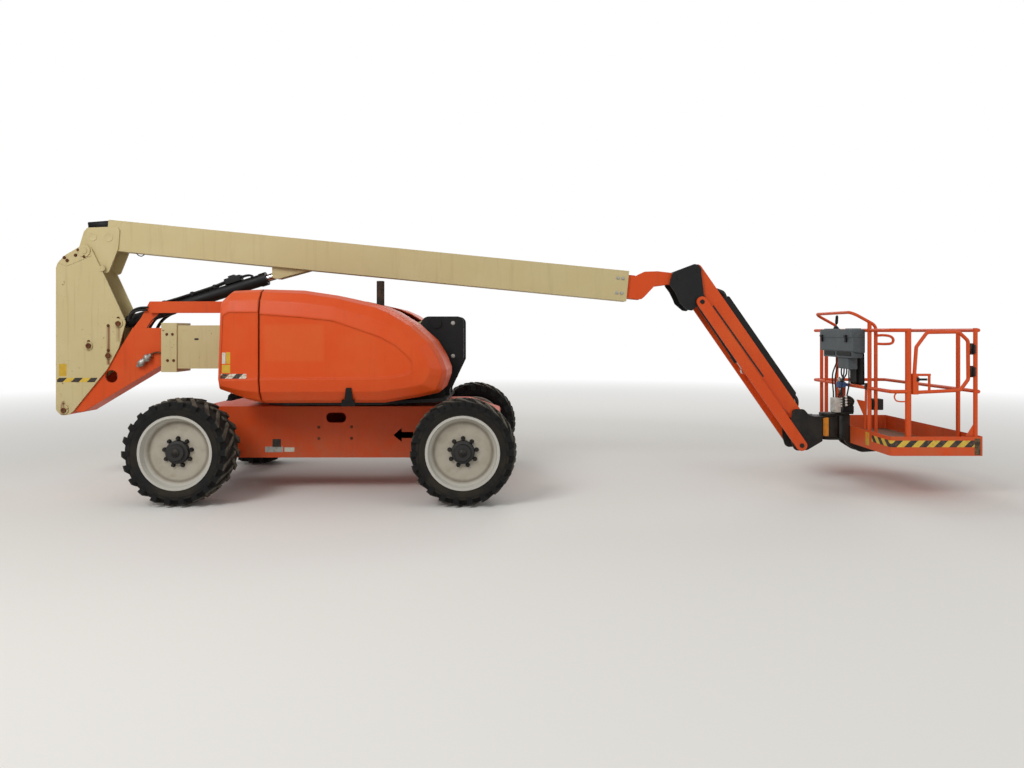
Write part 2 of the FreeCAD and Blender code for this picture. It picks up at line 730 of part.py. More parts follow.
def counterweight():
    """Cast slab across the tail, under the tower, with a slot for the tower's cylinder."""
    half = HOOD_INNER_Y - SEAT_GAP
    front = HOOD_SPLIT_X - HOOD_SEAM
    body = box(TAIL_X + 30, front, -half, half, DECK_Z + SEAT_GAP, 1070)
    slot_half = UPSTAND_Y + SIDE_PLATE + 2
    return body.cut(box(-2375, front + 1, -slot_half, slot_half, DECK_Z, 1080))


# Corners of a cowl: x, z and radius of its full outline, then of the flat panel on its side
HOOD_ROWS = [
    (-2078, 1900, 0, -2078, 1682, 0),
    (-1719, 1890, 200, -1719, 1656, 200),
    (-1407, 1843, 300, -1430, 1625, 300),
    (-1062, 1764, 200, -1180, 1540, 200),
    (-938, 1710, 150, -1018, 1484, 150),
    (-751, 1594, 150, -880, 1408, 90),
    (-578, 1437, 100, -790, 1330, 50),
    (-492, 1296, 80, -730, 1262, 30),
    (-447, 1182, 40, -722, 1225, 15),
    (-451, 1120, 40, -735, 1175, 15),
    (-500, 980, 60, -790, 1140, 20),
    (-690, 940, 60, -900, 1118, 30),
    (-1000, 888, 0, -1050, 1107, 0),
    (-2078, 884, 0, -2078, 1100, 0),
]
CAP_ROWS = [
    (-2078, 1900, 0, -2078, 1698, 0),
    (-2350, 1886, 40, -2340, 1698, 30),
    (-2438, 1800, 60, -2400, 1670, 30),
    (-2460, 1100, 40, -2420, 1110, 10),
    (-2460, 1005, 30, -2400, 1090, 10),
    (-2219, 915, 60, -2240, 1095, 20),
    (-2078, 884, 0, -2078, 1100, 0),
]
SHOULDER_ANGLES = (0.0, 30.0, 60.0, 90.0)


def inset(table, depth, fixed):
    """The table with every side moved inward by depth, except sides between corners at x = fixed."""
    count = len(table)
    area = sum(a[0] * b[1] - b[0] * a[1] for a, b in zip(table, table[1:] + table[:1]))
    sign = 1 if area > 0 else -1
    lines = []
    for (ax, az, _), (bx, bz, _) in zip(table, table[1:] + table[:1]):
        length = math.hypot(bx - ax, bz - az)
        move = 0.0 if abs(ax - fixed) < 1 and abs(bx - fixed) < 1 else depth
        nx, nz = -(bz - az) / length * sign, (bx - ax) / length * sign
        lines.append((ax + nx * move, az + nz * move, (bx - ax) / length, (bz - az) / length))
    corners = []
    for i in range(count):
        px, pz, ux, uz = lines[i - 1]
        qx, qz, vx, vz = lines[i]
        share = ((qx - px) * vz - (qz - pz) * vx) / (ux * vz - uz * vx)
        corners.append((px + ux * share, pz + uz * share, table[i][2]))
    return corners


def cowl_outline(rows, weight, seam_x, skin):
    """Corners between a cowl's side panel, weight 0, and its full outline, weight 1, set in by skin."""
    corners = []
    for x, z, r, side_x, side_z, side_r in rows:
        mixed_x = side_x + (x - side_x) * weight
        if x == HOOD_SPLIT_X:
            mixed_x = seam_x
        corners.append((mixed_x, side_z + (z - side_z) * weight, side_r + (r - side_r) * weight))
    return inset(corners, skin, seam_x)


def cowl(rows, seam_x, side, skin):
    """Solid of a cowl's outer form, set in by skin, with a shoulder that rounds its side into its top."""
    inner_y = HOOD_INNER_Y - (40 if skin else 0)
    wires = []
    for angle in SHOULDER_ANGLES:
        turn = math.radians(angle)
        y = HOOD_SIDE_Y - skin - HOOD_SHOULDER * (1 - math.cos(turn))
        corners = cowl_outline(rows, math.sin(turn), seam_x, skin)
        wires.append(outline(corners, lambda p, y=y: V(p.x, side * y, p.y)))
    full = cowl_outline(rows, 1.0, seam_x, skin)
    wires.append(outline(full, lambda p: V(p.x, side * inner_y, p.y)))
    return Part.makeLoft(wires, True, True)


def panel_recess(rows, seam_x, side):
    """Thin tool that leaves a step round a cowl's flat side panel."""
    corners = inset(cowl_outline(rows, 0.0, seam_x, 0), 8, seam_x)
    low, high = span(side, HOOD_SIDE_Y - HOOD_RECESS, HOOD_SIDE_Y + 5)
    return plate_xz(corners, low, high)


def hood(side):
    """Opening cowl over one flank of the turntable, a shell open below and towards the tower."""
    seam_x = HOOD_SPLIT_X + HOOD_SEAM / 2
    low, high = span(side, 300, 985)
    body = cut(
        cowl(HOOD_ROWS, seam_x, side, 0),
        cowl(HOOD_ROWS, seam_x, side, HOOD_WALL),
        panel_recess(HOOD_ROWS, seam_x, side),
        box(-2090, -600, low, high, 800, 1000),
    )
    for x in HINGE_STATIONS:
        low, high = span(side, HOOD_HINGE_Y - 2, HOOD_INNER_Y + 40)
        leaf = box(x, x + HINGE_LENGTH, low, high, HOOD_HINGE_Z - 4, HOOD_HINGE_Z + 6)
        barrel = rod(hinge_point(x, side), hinge_point(x + HINGE_LENGTH, side), HINGE_RADIUS)
        bore = rod(hinge_point(x - 1, side), hinge_point(x + HINGE_LENGTH + 1, side), HINGE_PIN + HINGE_GAP)
        body = body.fuse([leaf, barrel]).cut(bore)
    return body


def tail_cap(side):
    """Cast weight that closes one end of the tail and carries on the cowl's form."""
    seam_x = HOOD_SPLIT_X - HOOD_SEAM / 2
    return cut(cowl(CAP_ROWS, seam_x, side, 0), panel_recess(CAP_ROWS, seam_x, side))


def engine_block(side):
    """Plain block with the engine's real place and size."""
    y0, y1 = span(side, 480, 920)
    return box(-1900, -1000, y0, y1, DECK_Z, 1480)


def tank_block(side):
    """Plain tank on the other flank."""
    y0, y1 = span(side, 480, 920)
    return box(-1950, -900, y0, y1, DECK_Z, 1330)


def exhaust():
    """Stack that stands between the near cowl and the tower, clamped to the near sheet."""
    x, y = EXHAUST_X, EXHAUST_Y
    pipe = Part.makeCylinder(EXHAUST_RADIUS, EXHAUST_TOP - 1480, V(x, y, 1480), Z_AXIS)
    bore = Part.makeCylinder(EXHAUST_RADIUS - 5, 61, V(x, y, EXHAUST_TOP - 60), Z_AXIS)
    clamps = [box(x - 18, x + 18, -PANEL_Y, y, z, z + 46) for z in (1490, 1600)]
    return join(pipe, *clamps).cut(bore)


# Tower


def tube_x(x0, x1, width, height, wall, mid_z):
    """Rectangular tube along X."""
    a, b = width / 2, height / 2
    outer = box(x0, x1, -a, a, mid_z - b, mid_z + b)
    return outer.cut(box(x0 - 1, x1 + 1, -a + wall, a - wall, mid_z - b + wall, mid_z + b - wall))


def tower_base():
    """Outer tube of the tower with its pivot head, mouth collar and cylinder ears."""
    half = TOWER_WIDTH / 2
    top = TOWER_BOTTOM + TOWER_HEIGHT
    collar = box(TOWER_END_X, TOWER_END_X + COLLAR_LENGTH, -half - 14, half + 14, TOWER_BOTTOM - 35, top + 24)
    passage = box(
        TOWER_END_X - 5, TOWER_END_X + COLLAR_LENGTH + 5,
        -half + TOWER_WALL, half - TOWER_WALL, TOWER_BOTTOM + TOWER_WALL, top - TOWER_WALL,
    )
    pads = box(TOWER_END_X, TOWER_END_X + 70, -half + 1, half - 1, TOWER_BOTTOM + 1, top - 1)
    hole_y, hole_z = FLY_WIDTH / 2 + SEAT_GAP, FLY_HEIGHT / 2 + SEAT_GAP
    hole = box(TOWER_END_X - 1, TOWER_END_X + 71, -hole_y, hole_y, TOWER_MID_Z - hole_z, TOWER_MID_Z + hole_z)
    head = plate_xz(
        [
            (-900, top - 20, 0),
            (-540, top - 120, 0),
            (-540, TOWER_PIVOT_Z + 64, 66),
            (-700, TOWER_PIVOT_Z + 64, 66),
        ],
        -half, half,
    )
    parts = [
        tube_x(TOWER_END_X, -540, TOWER_WIDTH, TOWER_HEIGHT, TOWER_WALL, TOWER_MID_Z),
        box(-560, -540, -half + 1, half - 1, TOWER_BOTTOM + 1, top - 1),
        collar.cut(passage),
        pads.cut(hole),
        head.cut(box(-800, -500, -half + 40, half - 40, 1400, 1800)),
        pin_y((TOWER_PIVOT_X, TOWER_PIVOT_Z), -half - 8, half + 8, 58),
    ]
    eye_x, eye_z = TOWER_CYLINDER_EYE
    ear = [
        (eye_x - 110, TOWER_BOTTOM + 1, 0),
        (eye_x - 40, eye_z - 48, 36),
        (eye_x + 40, eye_z - 48, 36),
        (eye_x + 110, TOWER_BOTTOM + 1, 0),
    ]
    for side in (-1, 1):
        parts.append(plate_xz(ear, *span(side, 46, 66)))
    return join(*parts).cut(pin_y((TOWER_PIVOT_X, TOWER_PIVOT_Z), -400, 400, PIN_RADIUS + PIN_GAP))


def tower_fly():
    """Inner tube of the tower, with plates that drop to the upright's foot and the hose arm's post."""
    z0, z1 = TOWER_MID_Z - FLY_HEIGHT / 2, TOWER_MID_Z + FLY_HEIGHT / 2
    foot_x, foot_z = UPRIGHT_FOOT
    half = FLY_WIDTH / 2
    cheek = [
        (-3398, z0 + 8, 0),
        (-4189, 712, 60),
        (-4283, 726, 30),
        (foot_x + 30, foot_z - 60, 20),
        (foot_x - 60, foot_z - 60, 56),
        (foot_x - 60, foot_z + 60, 40),
        (-3945, 1143, 60),
        (-3700, 1539, 10),
        (-3690, z1, 0),
        (-3398, z1, 0),
    ]
    lip = [
        (-3410, z0 + 2, 0),
        (-4186, 713, 0),
        (-4196, 729, 0),
        (-3420, z0 + 18, 0),
    ]
    post = [
        (-3945, 1143, 0),
        (-3700, 1539, 200),
        (-3606, 1661, 100),
        (-3520, HOSE_ARM_TOP, 0),
        (-3400, HOSE_ARM_TOP, 0),
        (-3400, HOSE_ARM_BOTTOM, 0),
        (-3426, HOSE_ARM_BOTTOM, 40),
        (-3527, 1575, 100),
        (-3657, 1157, 0),
    ]
    parts = [
        tube_x(-3640, -1150, FLY_WIDTH, FLY_HEIGHT, TOWER_WALL, TOWER_MID_Z),
        plate_xz(lip, -half + 1, half - 1),
        pin_y(UPRIGHT_FOOT, -half, half, BOSS_RADIUS),
        plate_xz(post, -half + 6, -half + 30),
        box(-3500, -2250, -HOSE_ARM_INNER - 80, -HOSE_ARM_INNER, HOSE_ARM_BOTTOM, HOSE_ARM_TOP),
    ]
    for side in (-1, 1):
        y0, y1 = span(side, half - 24, half)
        parts.append(plate_xz(cheek, y0, y1).cut(pin_y((-3901, 1072), y0 - 1, y1 + 1, 64)))
    return join(*parts).cut(pin_y(UPRIGHT_FOOT, -400, 400, PIN_RADIUS + PIN_GAP))


def upright():
    """Two plates between the tower's end and the root of the main boom, with a web and pins."""
    side = [
        (UPRIGHT_REAR_X, 2163, 20),
        (-4434, 2214, 60),
        (-4358, 2293, 200),
        (-4171, 2400, 40),
        (-4100, 2372, 40),
        (-3959, 2078, 100),
        (-3748, 1618, 50),
        (-3819, 1359, 200),
        (-3935, 1144, 200),
        (-4272, 728, 60),
        (-4322, 685, 30),
        (-4401, 682, 40),
        (UPRIGHT_REAR_X, 735, 30),
    ]
    parts = []
    # point, radius of its collar outside the plates, radius of its pin
    pins = (
        (BOOM_PIVOT, 62, PIN_RADIUS),
        (UPRIGHT_FOOT, 52, PIN_RADIUS),
        (MAIN_CYLINDER_BASE, 46, 28),
        (UPRIGHT_CROSS_PIN, 42, 20),
        ((-3923, 1281), 34, 18),
        ((-3981, 2158), 30, 16),
    )
    for face in (-1, 1):
        parts.append(plate_xz(side, *span(face, UPRIGHT_INSIDE, UPRIGHT_WIDTH / 2)))
        for point, radius, _ in pins:
            parts.append(pin_y(point, *span(face, UPRIGHT_WIDTH / 2 - 1, UPRIGHT_WIDTH / 2 + 12), radius))
    rear = UPRIGHT_REAR_X + 22
    parts.append(box(rear, rear + UPRIGHT_PLATE, -UPRIGHT_INSIDE - 1, UPRIGHT_INSIDE + 1, 930, 2040))
    reach = UPRIGHT_WIDTH / 2 + 18
    for point, _, radius in pins[:4]:
        parts.append(pin_y(point, -reach, reach, radius))
    return join(*parts)


# Main boom, drawn along X from its root and turned to its slope; its tables are the machine's (x, z, radius)
ROOT_PLATE = [
    (-4226, 2380, 60),
    (-4216, 2290, 60),
    (-4120, 2270, 50),
    (-3967, 2111, 20),
    (-3930, 2123, 30),
    (-3833, 2367, 40),
    (-3819, 2547, 30),
    (-3845, 2583, 20),
    (-4144, 2571, 30),
    (-4180, 2533, 20),
]
BOOM_BRACKET = [
    (-2301, 2195, 0),
    (-2301, 2070, 20),
    (-2242, 2058, 30),
    (-1935, 2142, 0),
    (-1900, 2160, 0),
]
FLY_NOSE = [
    (1340, 2089, 0),
    (1386, 2085, 30),
    (1475, 2130, 60),
    (1611, 2134, 100),
    (1763, 2116, 100),
    (1840, 2118, 50),
    (1876, 2050, 50),
    (1820, 2010, 30),
    (1746, 2006, 60),
    (1577, 1984, 30),
    (1475, 1876, 60),
    (1442, 1849, 30),
    (1358, 1856, 0),
    (1318, 1860, 0),
]


def boom_local(point):
    """A point (x, z) of the machine in the main boom's own frame."""
    return turned((point[0] - BOOM_ROOT[0], point[1] - BOOM_ROOT[1]), (0.0, 0.0), BOOM_SLOPE)


def boom_table(table):
    """A table of the machine's (x, z, radius) in the main boom's own frame."""
    return [boom_local((x, z)) + (r,) for x, z, r in table]


def set_on_boom(shape):
    """Turns a shape from the main boom's own frame to its place on the machine."""
    placed = shape.copy()
    placed.rotate(V(0, 0, 0), Y_AXIS, BOOM_SLOPE)
    placed.translate(V(BOOM_ROOT[0], 0, BOOM_ROOT[1]))
    return placed


def main_boom():
    """Outer tube of the main boom with root plates, mouth pads and cylinder bracket."""
    half, h = BOOM_WIDTH / 2, BOOM_HEIGHT / 2
    pivot = boom_local(BOOM_PIVOT)
    end = BOOM_LENGTH
    pads = box(end - 80, end - 2, -half + 1, half - 1, -h + 1, h - 1)
    hole_y, hole_z = MAIN_FLY_WIDTH / 2 + SEAT_GAP, MAIN_FLY_HEIGHT / 2 + SEAT_GAP
    parts = [
        tube_x(0, end, BOOM_WIDTH, BOOM_HEIGHT, BOOM_WALL, 0),
        box(-10, 4, -half + 1, half - 1, -h + 2, h - 2),
        pin_y(pivot, -UPRIGHT_INSIDE + RUNNING_GAP, UPRIGHT_INSIDE - RUNNING_GAP, BOSS_RADIUS),
        pads.cut(box(end - 81, end, -hole_y, hole_y, -hole_z, hole_z)),
    ]
    for side in (-1, 1):
        parts.append(plate_xz(boom_table(ROOT_PLATE), *span(side, half - 1, half + ROOT_PLATE_SHEET)))
        parts.append(plate_xz(boom_table(BOOM_BRACKET), *span(side, 46, 66)))
    body = join(*parts).cut(pin_y(pivot, -400, 400, PIN_RADIUS + PIN_GAP))
    return set_on_boom(body)


def main_fly():
    """Inner tube of the main boom with the slim cheeks that carry the eye of the knuckle's pin."""
    nose = boom_local(JIB_NOSE)
    h, half = MAIN_FLY_HEIGHT / 2, MAIN_FLY_WIDTH / 2
    tube_end = boom_local((1372, 1970))[0]
    hub_y = KNUCKLE_INSIDE / 2 - RUNNING_GAP
    parts = [
        tube_x(BOOM_LENGTH - FLY_INSIDE, tube_end, MAIN_FLY_WIDTH, MAIN_FLY_HEIGHT, BOOM_WALL, 0),
        box(tube_end - 10, tube_end, -half + 1, half - 1, -h + 1, h - 1),
        pin_y(nose, -hub_y, hub_y, 56),
    ]
    for face in (-1, 1):
        inner, outer = half - BOOM_WALL, half + NOSE_PLATE - BOOM_WALL
        parts.append(plate_xz(boom_table(FLY_NOSE), *span(face, inner, outer)))
    floor = [
        (1400, 1858, 0),
        (1450, 1858, 0),
        (1572, 1990, 0),
        (1560, 2000, 0),
        (1445, 1874, 0),
        (1400, 1874, 0),
    ]
    parts.append(plate_xz(boom_table(floor), -half + 2, half - 2))
    body = join(*parts).cut(pin_y(nose, -400, 400, JIB_PIN_RADIUS + PIN_GAP))
    return set_on_boom(body)


# Jib


def jib_knuckle():
    """Bracket that stays level on the fly's nose and carries the jib's upper pins."""
    side = [
        (1748, 2104, 10),
        (1765, 2126, 10),
        (1972, 2205, 40),
        (2017, 2194, 30),
        (2034, 2165, 20),
        (2050, 2043, 60),
        (2067, 1898, 60),
        (2092, 1830, 30),
        (2070, 1780, 30),
        (2005, 1785, 20),
        (1949, 1734, 20),
        (1905, 1741, 20),
        (1827, 1808, 20),
        (1804, 1863, 40),
        (1770, 1931, 40),
        (1720, 1998, 30),
    ]
    inside = KNUCKLE_INSIDE / 2 + 1
    out = PLATE_OUT + 4
    link_out = LINK_INNER + LINK_THICKNESS + 6
    parts = [plate_xz(side, *span(face, KNUCKLE_INSIDE / 2, PLATE_OUT)) for face in (-1, 1)]
    web = [
        (1896, 1782, 0),
        (1936, 1752, 0),
        (1943, 1762, 0),
        (1903, 1792, 0),
    ]
    parts.append(plate_xz(web, -inside, inside))
    parts.append(pin_y(JIB_NOSE, -out, out, JIB_PIN_RADIUS))
    parts.append(pin_y(JIB_TOP_PIN, -out, out, JIB_PIN_RADIUS))
    parts.append(pin_y(LINK_TOP_PIN, -link_out, link_out, LINK_PIN_RADIUS))
    return join(*parts)


def on_arm(along_arm, across):
    """The machine's (x, z) of a point in the jib arm's own frame."""
    return turned((JIB_TOP_PIN[0] + along_arm, JIB_TOP_PIN[1] + across), JIB_TOP_PIN, -JIB_SLOPE)


def arm_plate(table, y0, y1):
    """A plate whose table of (along, across, radius) is in the jib arm's own frame."""
    return plate_xz([on_arm(a, b) + (r,) for a, b, r in table], y0, y1)


def jib_arm():
    """Box arm of the jib with an eye at each end and a cylinder lug."""
    half = JIB_WIDTH / 2
    side = [
        (-62, JIB_OVER, 48),
        (-62, -50, 48),
        (40, -66, 40),
        (150, -JIB_UNDER, 40),
        (JIB_LENGTH - 150, -JIB_UNDER, 40),
        (JIB_LENGTH - 30, -62, 40),
        (JIB_LENGTH + 62, -50, 48),
        (JIB_LENGTH + 62, JIB_OVER, 48),
    ]
    under, over = -JIB_UNDER + JIB_WALL, JIB_OVER - JIB_WALL
    hollow = [
        (110, under, 0),
        (JIB_LENGTH - 110, under, 0),
        (JIB_LENGTH - 110, over, 0),
        (110, over, 0),
    ]
    parts = [arm_plate(side, -half, half).cut(arm_plate(hollow, -half + JIB_WALL, half - JIB_WALL))]
    eye, across = JIB_CYLINDER_EYE
    ear = [
        (eye - 110, -JIB_UNDER + 4, 0),
        (eye - 34, across - 34, 30),
        (eye + 34, across - 34, 30),
        (eye + 110, -JIB_UNDER + 4, 0),
    ]
    for face in (-1, 1):
        parts.append(arm_plate(ear, *span(face, 34, 48)))
    inside = KNUCKLE_INSIDE / 2 - RUNNING_GAP
    for point in (JIB_TOP_PIN, JIB_FOOT_PIN):
        parts.append(pin_y(point, -inside, inside, 45))
    bores = [pin_y(point, -400, 400, JIB_PIN_RADIUS + PIN_GAP) for point in (JIB_TOP_PIN, JIB_FOOT_PIN)]
    return cut(join(*parts), *bores)


def hose_cover():
    """Channel that covers the hoses along the arm's upper face."""
    a, b = HOSE_COVER_RUN
    low, high = JIB_OVER, JIB_OVER + HOSE_COVER_DEPTH
    outer = arm_plate([(a, low, 0), (b, low, 0), (b - 20, high, 24), (a + 20, high, 24)], -70, 70)
    sheet = HOSE_COVER_SHEET
    inner = [(a - 9, low - 1, 0), (b + 9, low - 1, 0), (b + 9, high - sheet, 0), (a - 9, high - sheet, 0)]
    return outer.cut(arm_plate(inner, -70 + sheet, 70 - sheet))


def jib_link(side):
    """Flat link with round ends beside the jib arm."""
    half = LINK_DEPTH / 2
    y0, y1 = span(side, LINK_INNER, LINK_INNER + LINK_THICKNESS)
    bar = []
    for along_link, across in ((0, half), (JIB_LENGTH, half), (JIB_LENGTH, -half), (0, -half)):
        point = (LINK_TOP_PIN[0] + along_link, LINK_TOP_PIN[1] + across)
        bar.append(turned(point, LINK_TOP_PIN, -JIB_SLOPE) + (0,))
    ends = [pin_y(point, y0, y1, half) for point in (LINK_TOP_PIN, LINK_FOOT_PIN)]
    bores = [pin_y(point, -400, 400, LINK_PIN_RADIUS + PIN_GAP) for point in (LINK_TOP_PIN, LINK_FOOT_PIN)]
    return cut(join(plate_xz(bar, y0, y1), *ends), *bores)


def jib_links():
    """The two links, which turn as one."""
    return group(*both_sides(jib_link))


def carrier():
    """Bracket at the jib's foot that stays level, with the housing of the platform's rotator."""
    side = [
        (2948, 600, 60),
        (2962, 742, 40),
        (3076, 742, 40),
        (3140, 668, 30),
        (3262, 668, 10),
        (3262, 420, 10),
        (3110, 330, 50),
        (2980, 322, 50),
        (2948, 430, 60),
    ]
    inside = KNUCKLE_INSIDE / 2 + 1
    out = PLATE_OUT + 4
    link_out = LINK_INNER + LINK_THICKNESS + 6
    parts = [plate_xz(side, *span(face, KNUCKLE_INSIDE / 2, PLATE_OUT)) for face in (-1, 1)]
    parts.append(box(3225, 3245, -inside, inside, 430, 664))
    parts.append(pin_y(JIB_FOOT_PIN, -out, out, JIB_PIN_RADIUS))
    parts.append(pin_y(LINK_FOOT_PIN, -link_out, link_out, LINK_PIN_RADIUS))
    shelf = [
        (3200, -118, 0),
        (3340, -100, 40),
        (3474, -96, 90),
        (3474, 96, 90),
        (3340, 100, 40),
        (3200, 118, 0),
    ]
    for z0 in (CARRIER_Z0, CARRIER_Z1 - 16):
        parts.append(plate_xy(shelf, z0, z0 + 16))
    foot, height = V(ROTATOR_X, 0, CARRIER_Z0), CARRIER_Z1 - CARRIER_Z0
    parts.append(Part.makeCylinder(ROTATOR_RADIUS, height, foot, Z_AXIS))
    return join(*parts).cut(Part.makeCylinder(ROTATOR_SHAFT + PIN_GAP, 400, V(ROTATOR_X, 0, 400), Z_AXIS))


def platform_support():
    """Yoke on the rotator's shaft and the curved beam under the platform."""
    back = PLATFORM_X0 - 4
    jaw = [
        (3290, -90, 70),
        (3540, -90, 10),
        (3540, 90, 10),
        (3290, 90, 70),
    ]
    beam = [
        (3500, CARRIER_Z1 + 28, 0),
        (back, CARRIER_Z1 + 28, 20),
        (back, PLATFORM_BOTTOM, 0),
        (4280, PLATFORM_BOTTOM, 0),
        (4280, 340, 20),
        (3660, 302, 120),
        (3500, 400, 100),
    ]
    shaft = V(ROTATOR_X, 0, CARRIER_Z0 - 25)
    parts = [
        plate_xy(jaw, CARRIER_Z1 + RUNNING_GAP, CARRIER_Z1 + RUNNING_GAP + 22),
        plate_xy(jaw, CARRIER_Z0 - RUNNING_GAP - 22, CARRIER_Z0 - RUNNING_GAP),
        Part.makeCylinder(ROTATOR_SHAFT, CARRIER_Z1 - CARRIER_Z0 + 50, shaft, Z_AXIS),
        box(3504, 3528, -60, 60, 440, 690),
    ]
    for face in (-1, 1):
        parts.append(plate_xz(beam, *span(face, 50, 90)))
    return join(*parts)


# Platform


def platform_deck():
    """Floor sheet, toe boards and the bars under the floor."""
    z0, z1 = PLATFORM_BOTTOM, PLATFORM_BOTTOM + TOE_HEIGHT
    trays = []
    # inset from the outside, corner radius, bottom and top of a tray's room
    for margin, radius, low, high in (
        (0, 30, z0, z1),
        (TOE_THICKNESS, 26, z0 + FLOOR_SHEET, z1 + 1),
        (34, 10, z0 - 1, z0 + FLOOR_SHEET - 4),
    ):
        x0, x1, half = PLATFORM_X0 + margin, PLATFORM_X1 - margin, PLATFORM_HALF - margin
        table = [(x0, -half, radius), (x1, -half, radius), (x1, half, radius), (x0, half, radius)]
        trays.append(plate_xy(table, low, high))
    reach = PLATFORM_HALF - 30
    bars = [box(x - 20, x + 20, -reach, reach, z0, z0 + FLOOR_SHEET - 3) for x in (3660, 4000, 4260)]
    return join(cut(*trays), *bars)


def platform_rails():
    """Posts, rails, hoop and gate hinges of the platform."""
    ring = [
        (NEAR_POST_X, -RAIL_Y),
        (RAIL_X0, -RAIL_Y),
        (RAIL_X0, RAIL_Y),
        (RAIL_X1, RAIL_Y),
        (RAIL_X1, -RAIL_Y),
        (GATE_POST_X - 2, -RAIL_Y),
    ]
    top = RAIL_TOP - RAIL_RADIUS
    foot = PLATFORM_BOTTOM + FLOOR_SHEET
    parts = [bent_tube([(x, y, z) for x, y in ring], RAIL_RADIUS, RAIL_BEND) for z in (top, RAIL_MIDDLE)]
    # x, y, radius and top of each post
    for x, y, radius, height in (
        (NEAR_POST_X, -RAIL_Y + 7, 26, RAIL_TOP),
        (GATE_POST_X, -RAIL_Y, 18.5, RAIL_TOP + 3),
        (RAIL_X0, HOOP_Y[0], POST_RADIUS, 1606),
        (RAIL_X0, 561, POST_RADIUS, top),
        (RAIL_X1, -550, POST_RADIUS, top),
        (4280, RAIL_Y, POST_RADIUS, top),
        (3665, RAIL_Y, POST_RADIUS, top),
    ):
        parts.append(rod((x, y, foot), (x, y, height), radius))
    y0, y1 = HOOP_Y
    hoop = [
        (HOOP_LEG_X, y0, foot),
        (HOOP_LEG_X, y0, HOOP_BEND_Z),
        (HOOP_FRONT_X, y0, HOOP_TOP),
        (HOOP_FRONT_X, y1, HOOP_TOP),
        (HOOP_LEG_X, y1, HOOP_BEND_Z),
        (HOOP_LEG_X, y1, foot),
    ]
    parts.append(bent_tube(hoop, HOOP_RADIUS, 80))
    for y in HOOP_Y:
        parts.append(rod((RAIL_X0, y, RAIL_MIDDLE), (HOOP_LEG_X, y, RAIL_MIDDLE), 12))
    for z in GATE_HINGE_Z:
        high = z - GATE_KNUCKLE / 2 - SEAT_GAP
        parts.append(box(GATE_HINGE_X, GATE_POST_X, -RAIL_Y - 10, -RAIL_Y + 10, high - 10, high))
        parts.append(Part.makeCylinder(12, 10, V(GATE_HINGE_X, -RAIL_Y, high - 10), Z_AXIS))
        foot = V(GATE_HINGE_X, -RAIL_Y, high - 10)
        parts.append(Part.makeCylinder(GATE_PIN, GATE_KNUCKLE + 16, foot, Z_AXIS))
    return join(*parts)


def gate():
    """Tube loop with a slanting left side and a latch box, which swings inward on two hinges."""
    y = -RAIL_Y
    loop = [
        (3786, 1100),
        (3806, 1383),
        (3904, 1516),
        (4191, 1520),
        (4275, 1440),
        (4278, 1090),
        (4205, 990),
        (3790, 970),
    ]
    parts = [
        bent_tube([(x, y, z) for x, z in loop], GATE_TUBE, 45),
        box(3770, 3818, y - 18, y + 18, 952, 1141),
        rod((3810, y, 1130), (3934, y, 1130), 11),
        rod((3924, y, 976), (3924, y, 1130), 11),
    ]
    for z in GATE_HINGE_Z:
        half = GATE_KNUCKLE / 2
        parts.append(box(4276, GATE_HINGE_X, y - 8, y + 8, z - half, z + half))
        parts.append(Part.makeCylinder(12, GATE_KNUCKLE, V(GATE_HINGE_X, y, z - half), Z_AXIS))
    feet = [V(GATE_HINGE_X, y, z - 50) for z in GATE_HINGE_Z]
    bores = [Part.makeCylinder(GATE_PIN + HINGE_GAP, 100, foot, Z_AXIS) for foot in feet]
    return cut(join(*parts), *bores)


def control_console():
    """Control box on the platform's inner rail with a lower box under it."""
    back = RAIL_X0 - RAIL_RADIUS - SEAT_GAP
    upper = [
        (3452, 1328, 10),
        (back, 1312, 10),
        (back, RAIL_TOP - RAIL_RADIUS + 2, 0),
        (3452, 1520, 10),
    ]
    return join(plate_xz(upper, -400, 400), box(3482, back, -235, 10, 1149, 1330))


# Cylinders: each barrel turns on its base pin and each rod slides in its barrel


def along(base, eye, distance):
    """The point on the line from base to eye at a distance from base, as (x, y, z) with y 0."""
    length = math.hypot(eye[0] - base[0], eye[1] - base[1])
    share = distance / length
    return (base[0] + (eye[0] - base[0]) * share, 0.0, base[1] + (eye[1] - base[1]) * share)


def cylinder_barrel(base, eye, radius, bore, pin, cheek, collar, rod_out):
    """Tube closed at its base by an eye, open at its gland."""
    length = math.hypot(eye[0] - base[0], eye[1] - base[1])
    outer = rod(along(base, eye, radius * 0.6), along(base, eye, length - rod_out), radius)
    gland = rod(along(base, eye, length - rod_out - 70), along(base, eye, length - rod_out), radius + 7)
    hollow = rod(along(base, eye, radius * 1.8), along(base, eye, length + 10), bore + SEAT_GAP)
    boss = pin_y(base, -cheek, cheek, pin + collar)
    body = outer.fuse(gland).cut(hollow).fuse(boss)
    return body.cut(pin_y(base, -cheek - 1, cheek + 1, pin + PIN_GAP)).removeSplitter()


def cylinder_rod(base, eye, radius, bore, pin, cheek, collar):
    """Chromed rod that fills its barrel's bore, with an eye at its end."""
    length = math.hypot(eye[0] - base[0], eye[1] - base[1])
    shaft = rod(along(base, eye, radius * 1.8 + 34), along(base, eye, length - pin), bore)
    return join(shaft, pin_y(eye, -cheek, cheek, pin + collar))


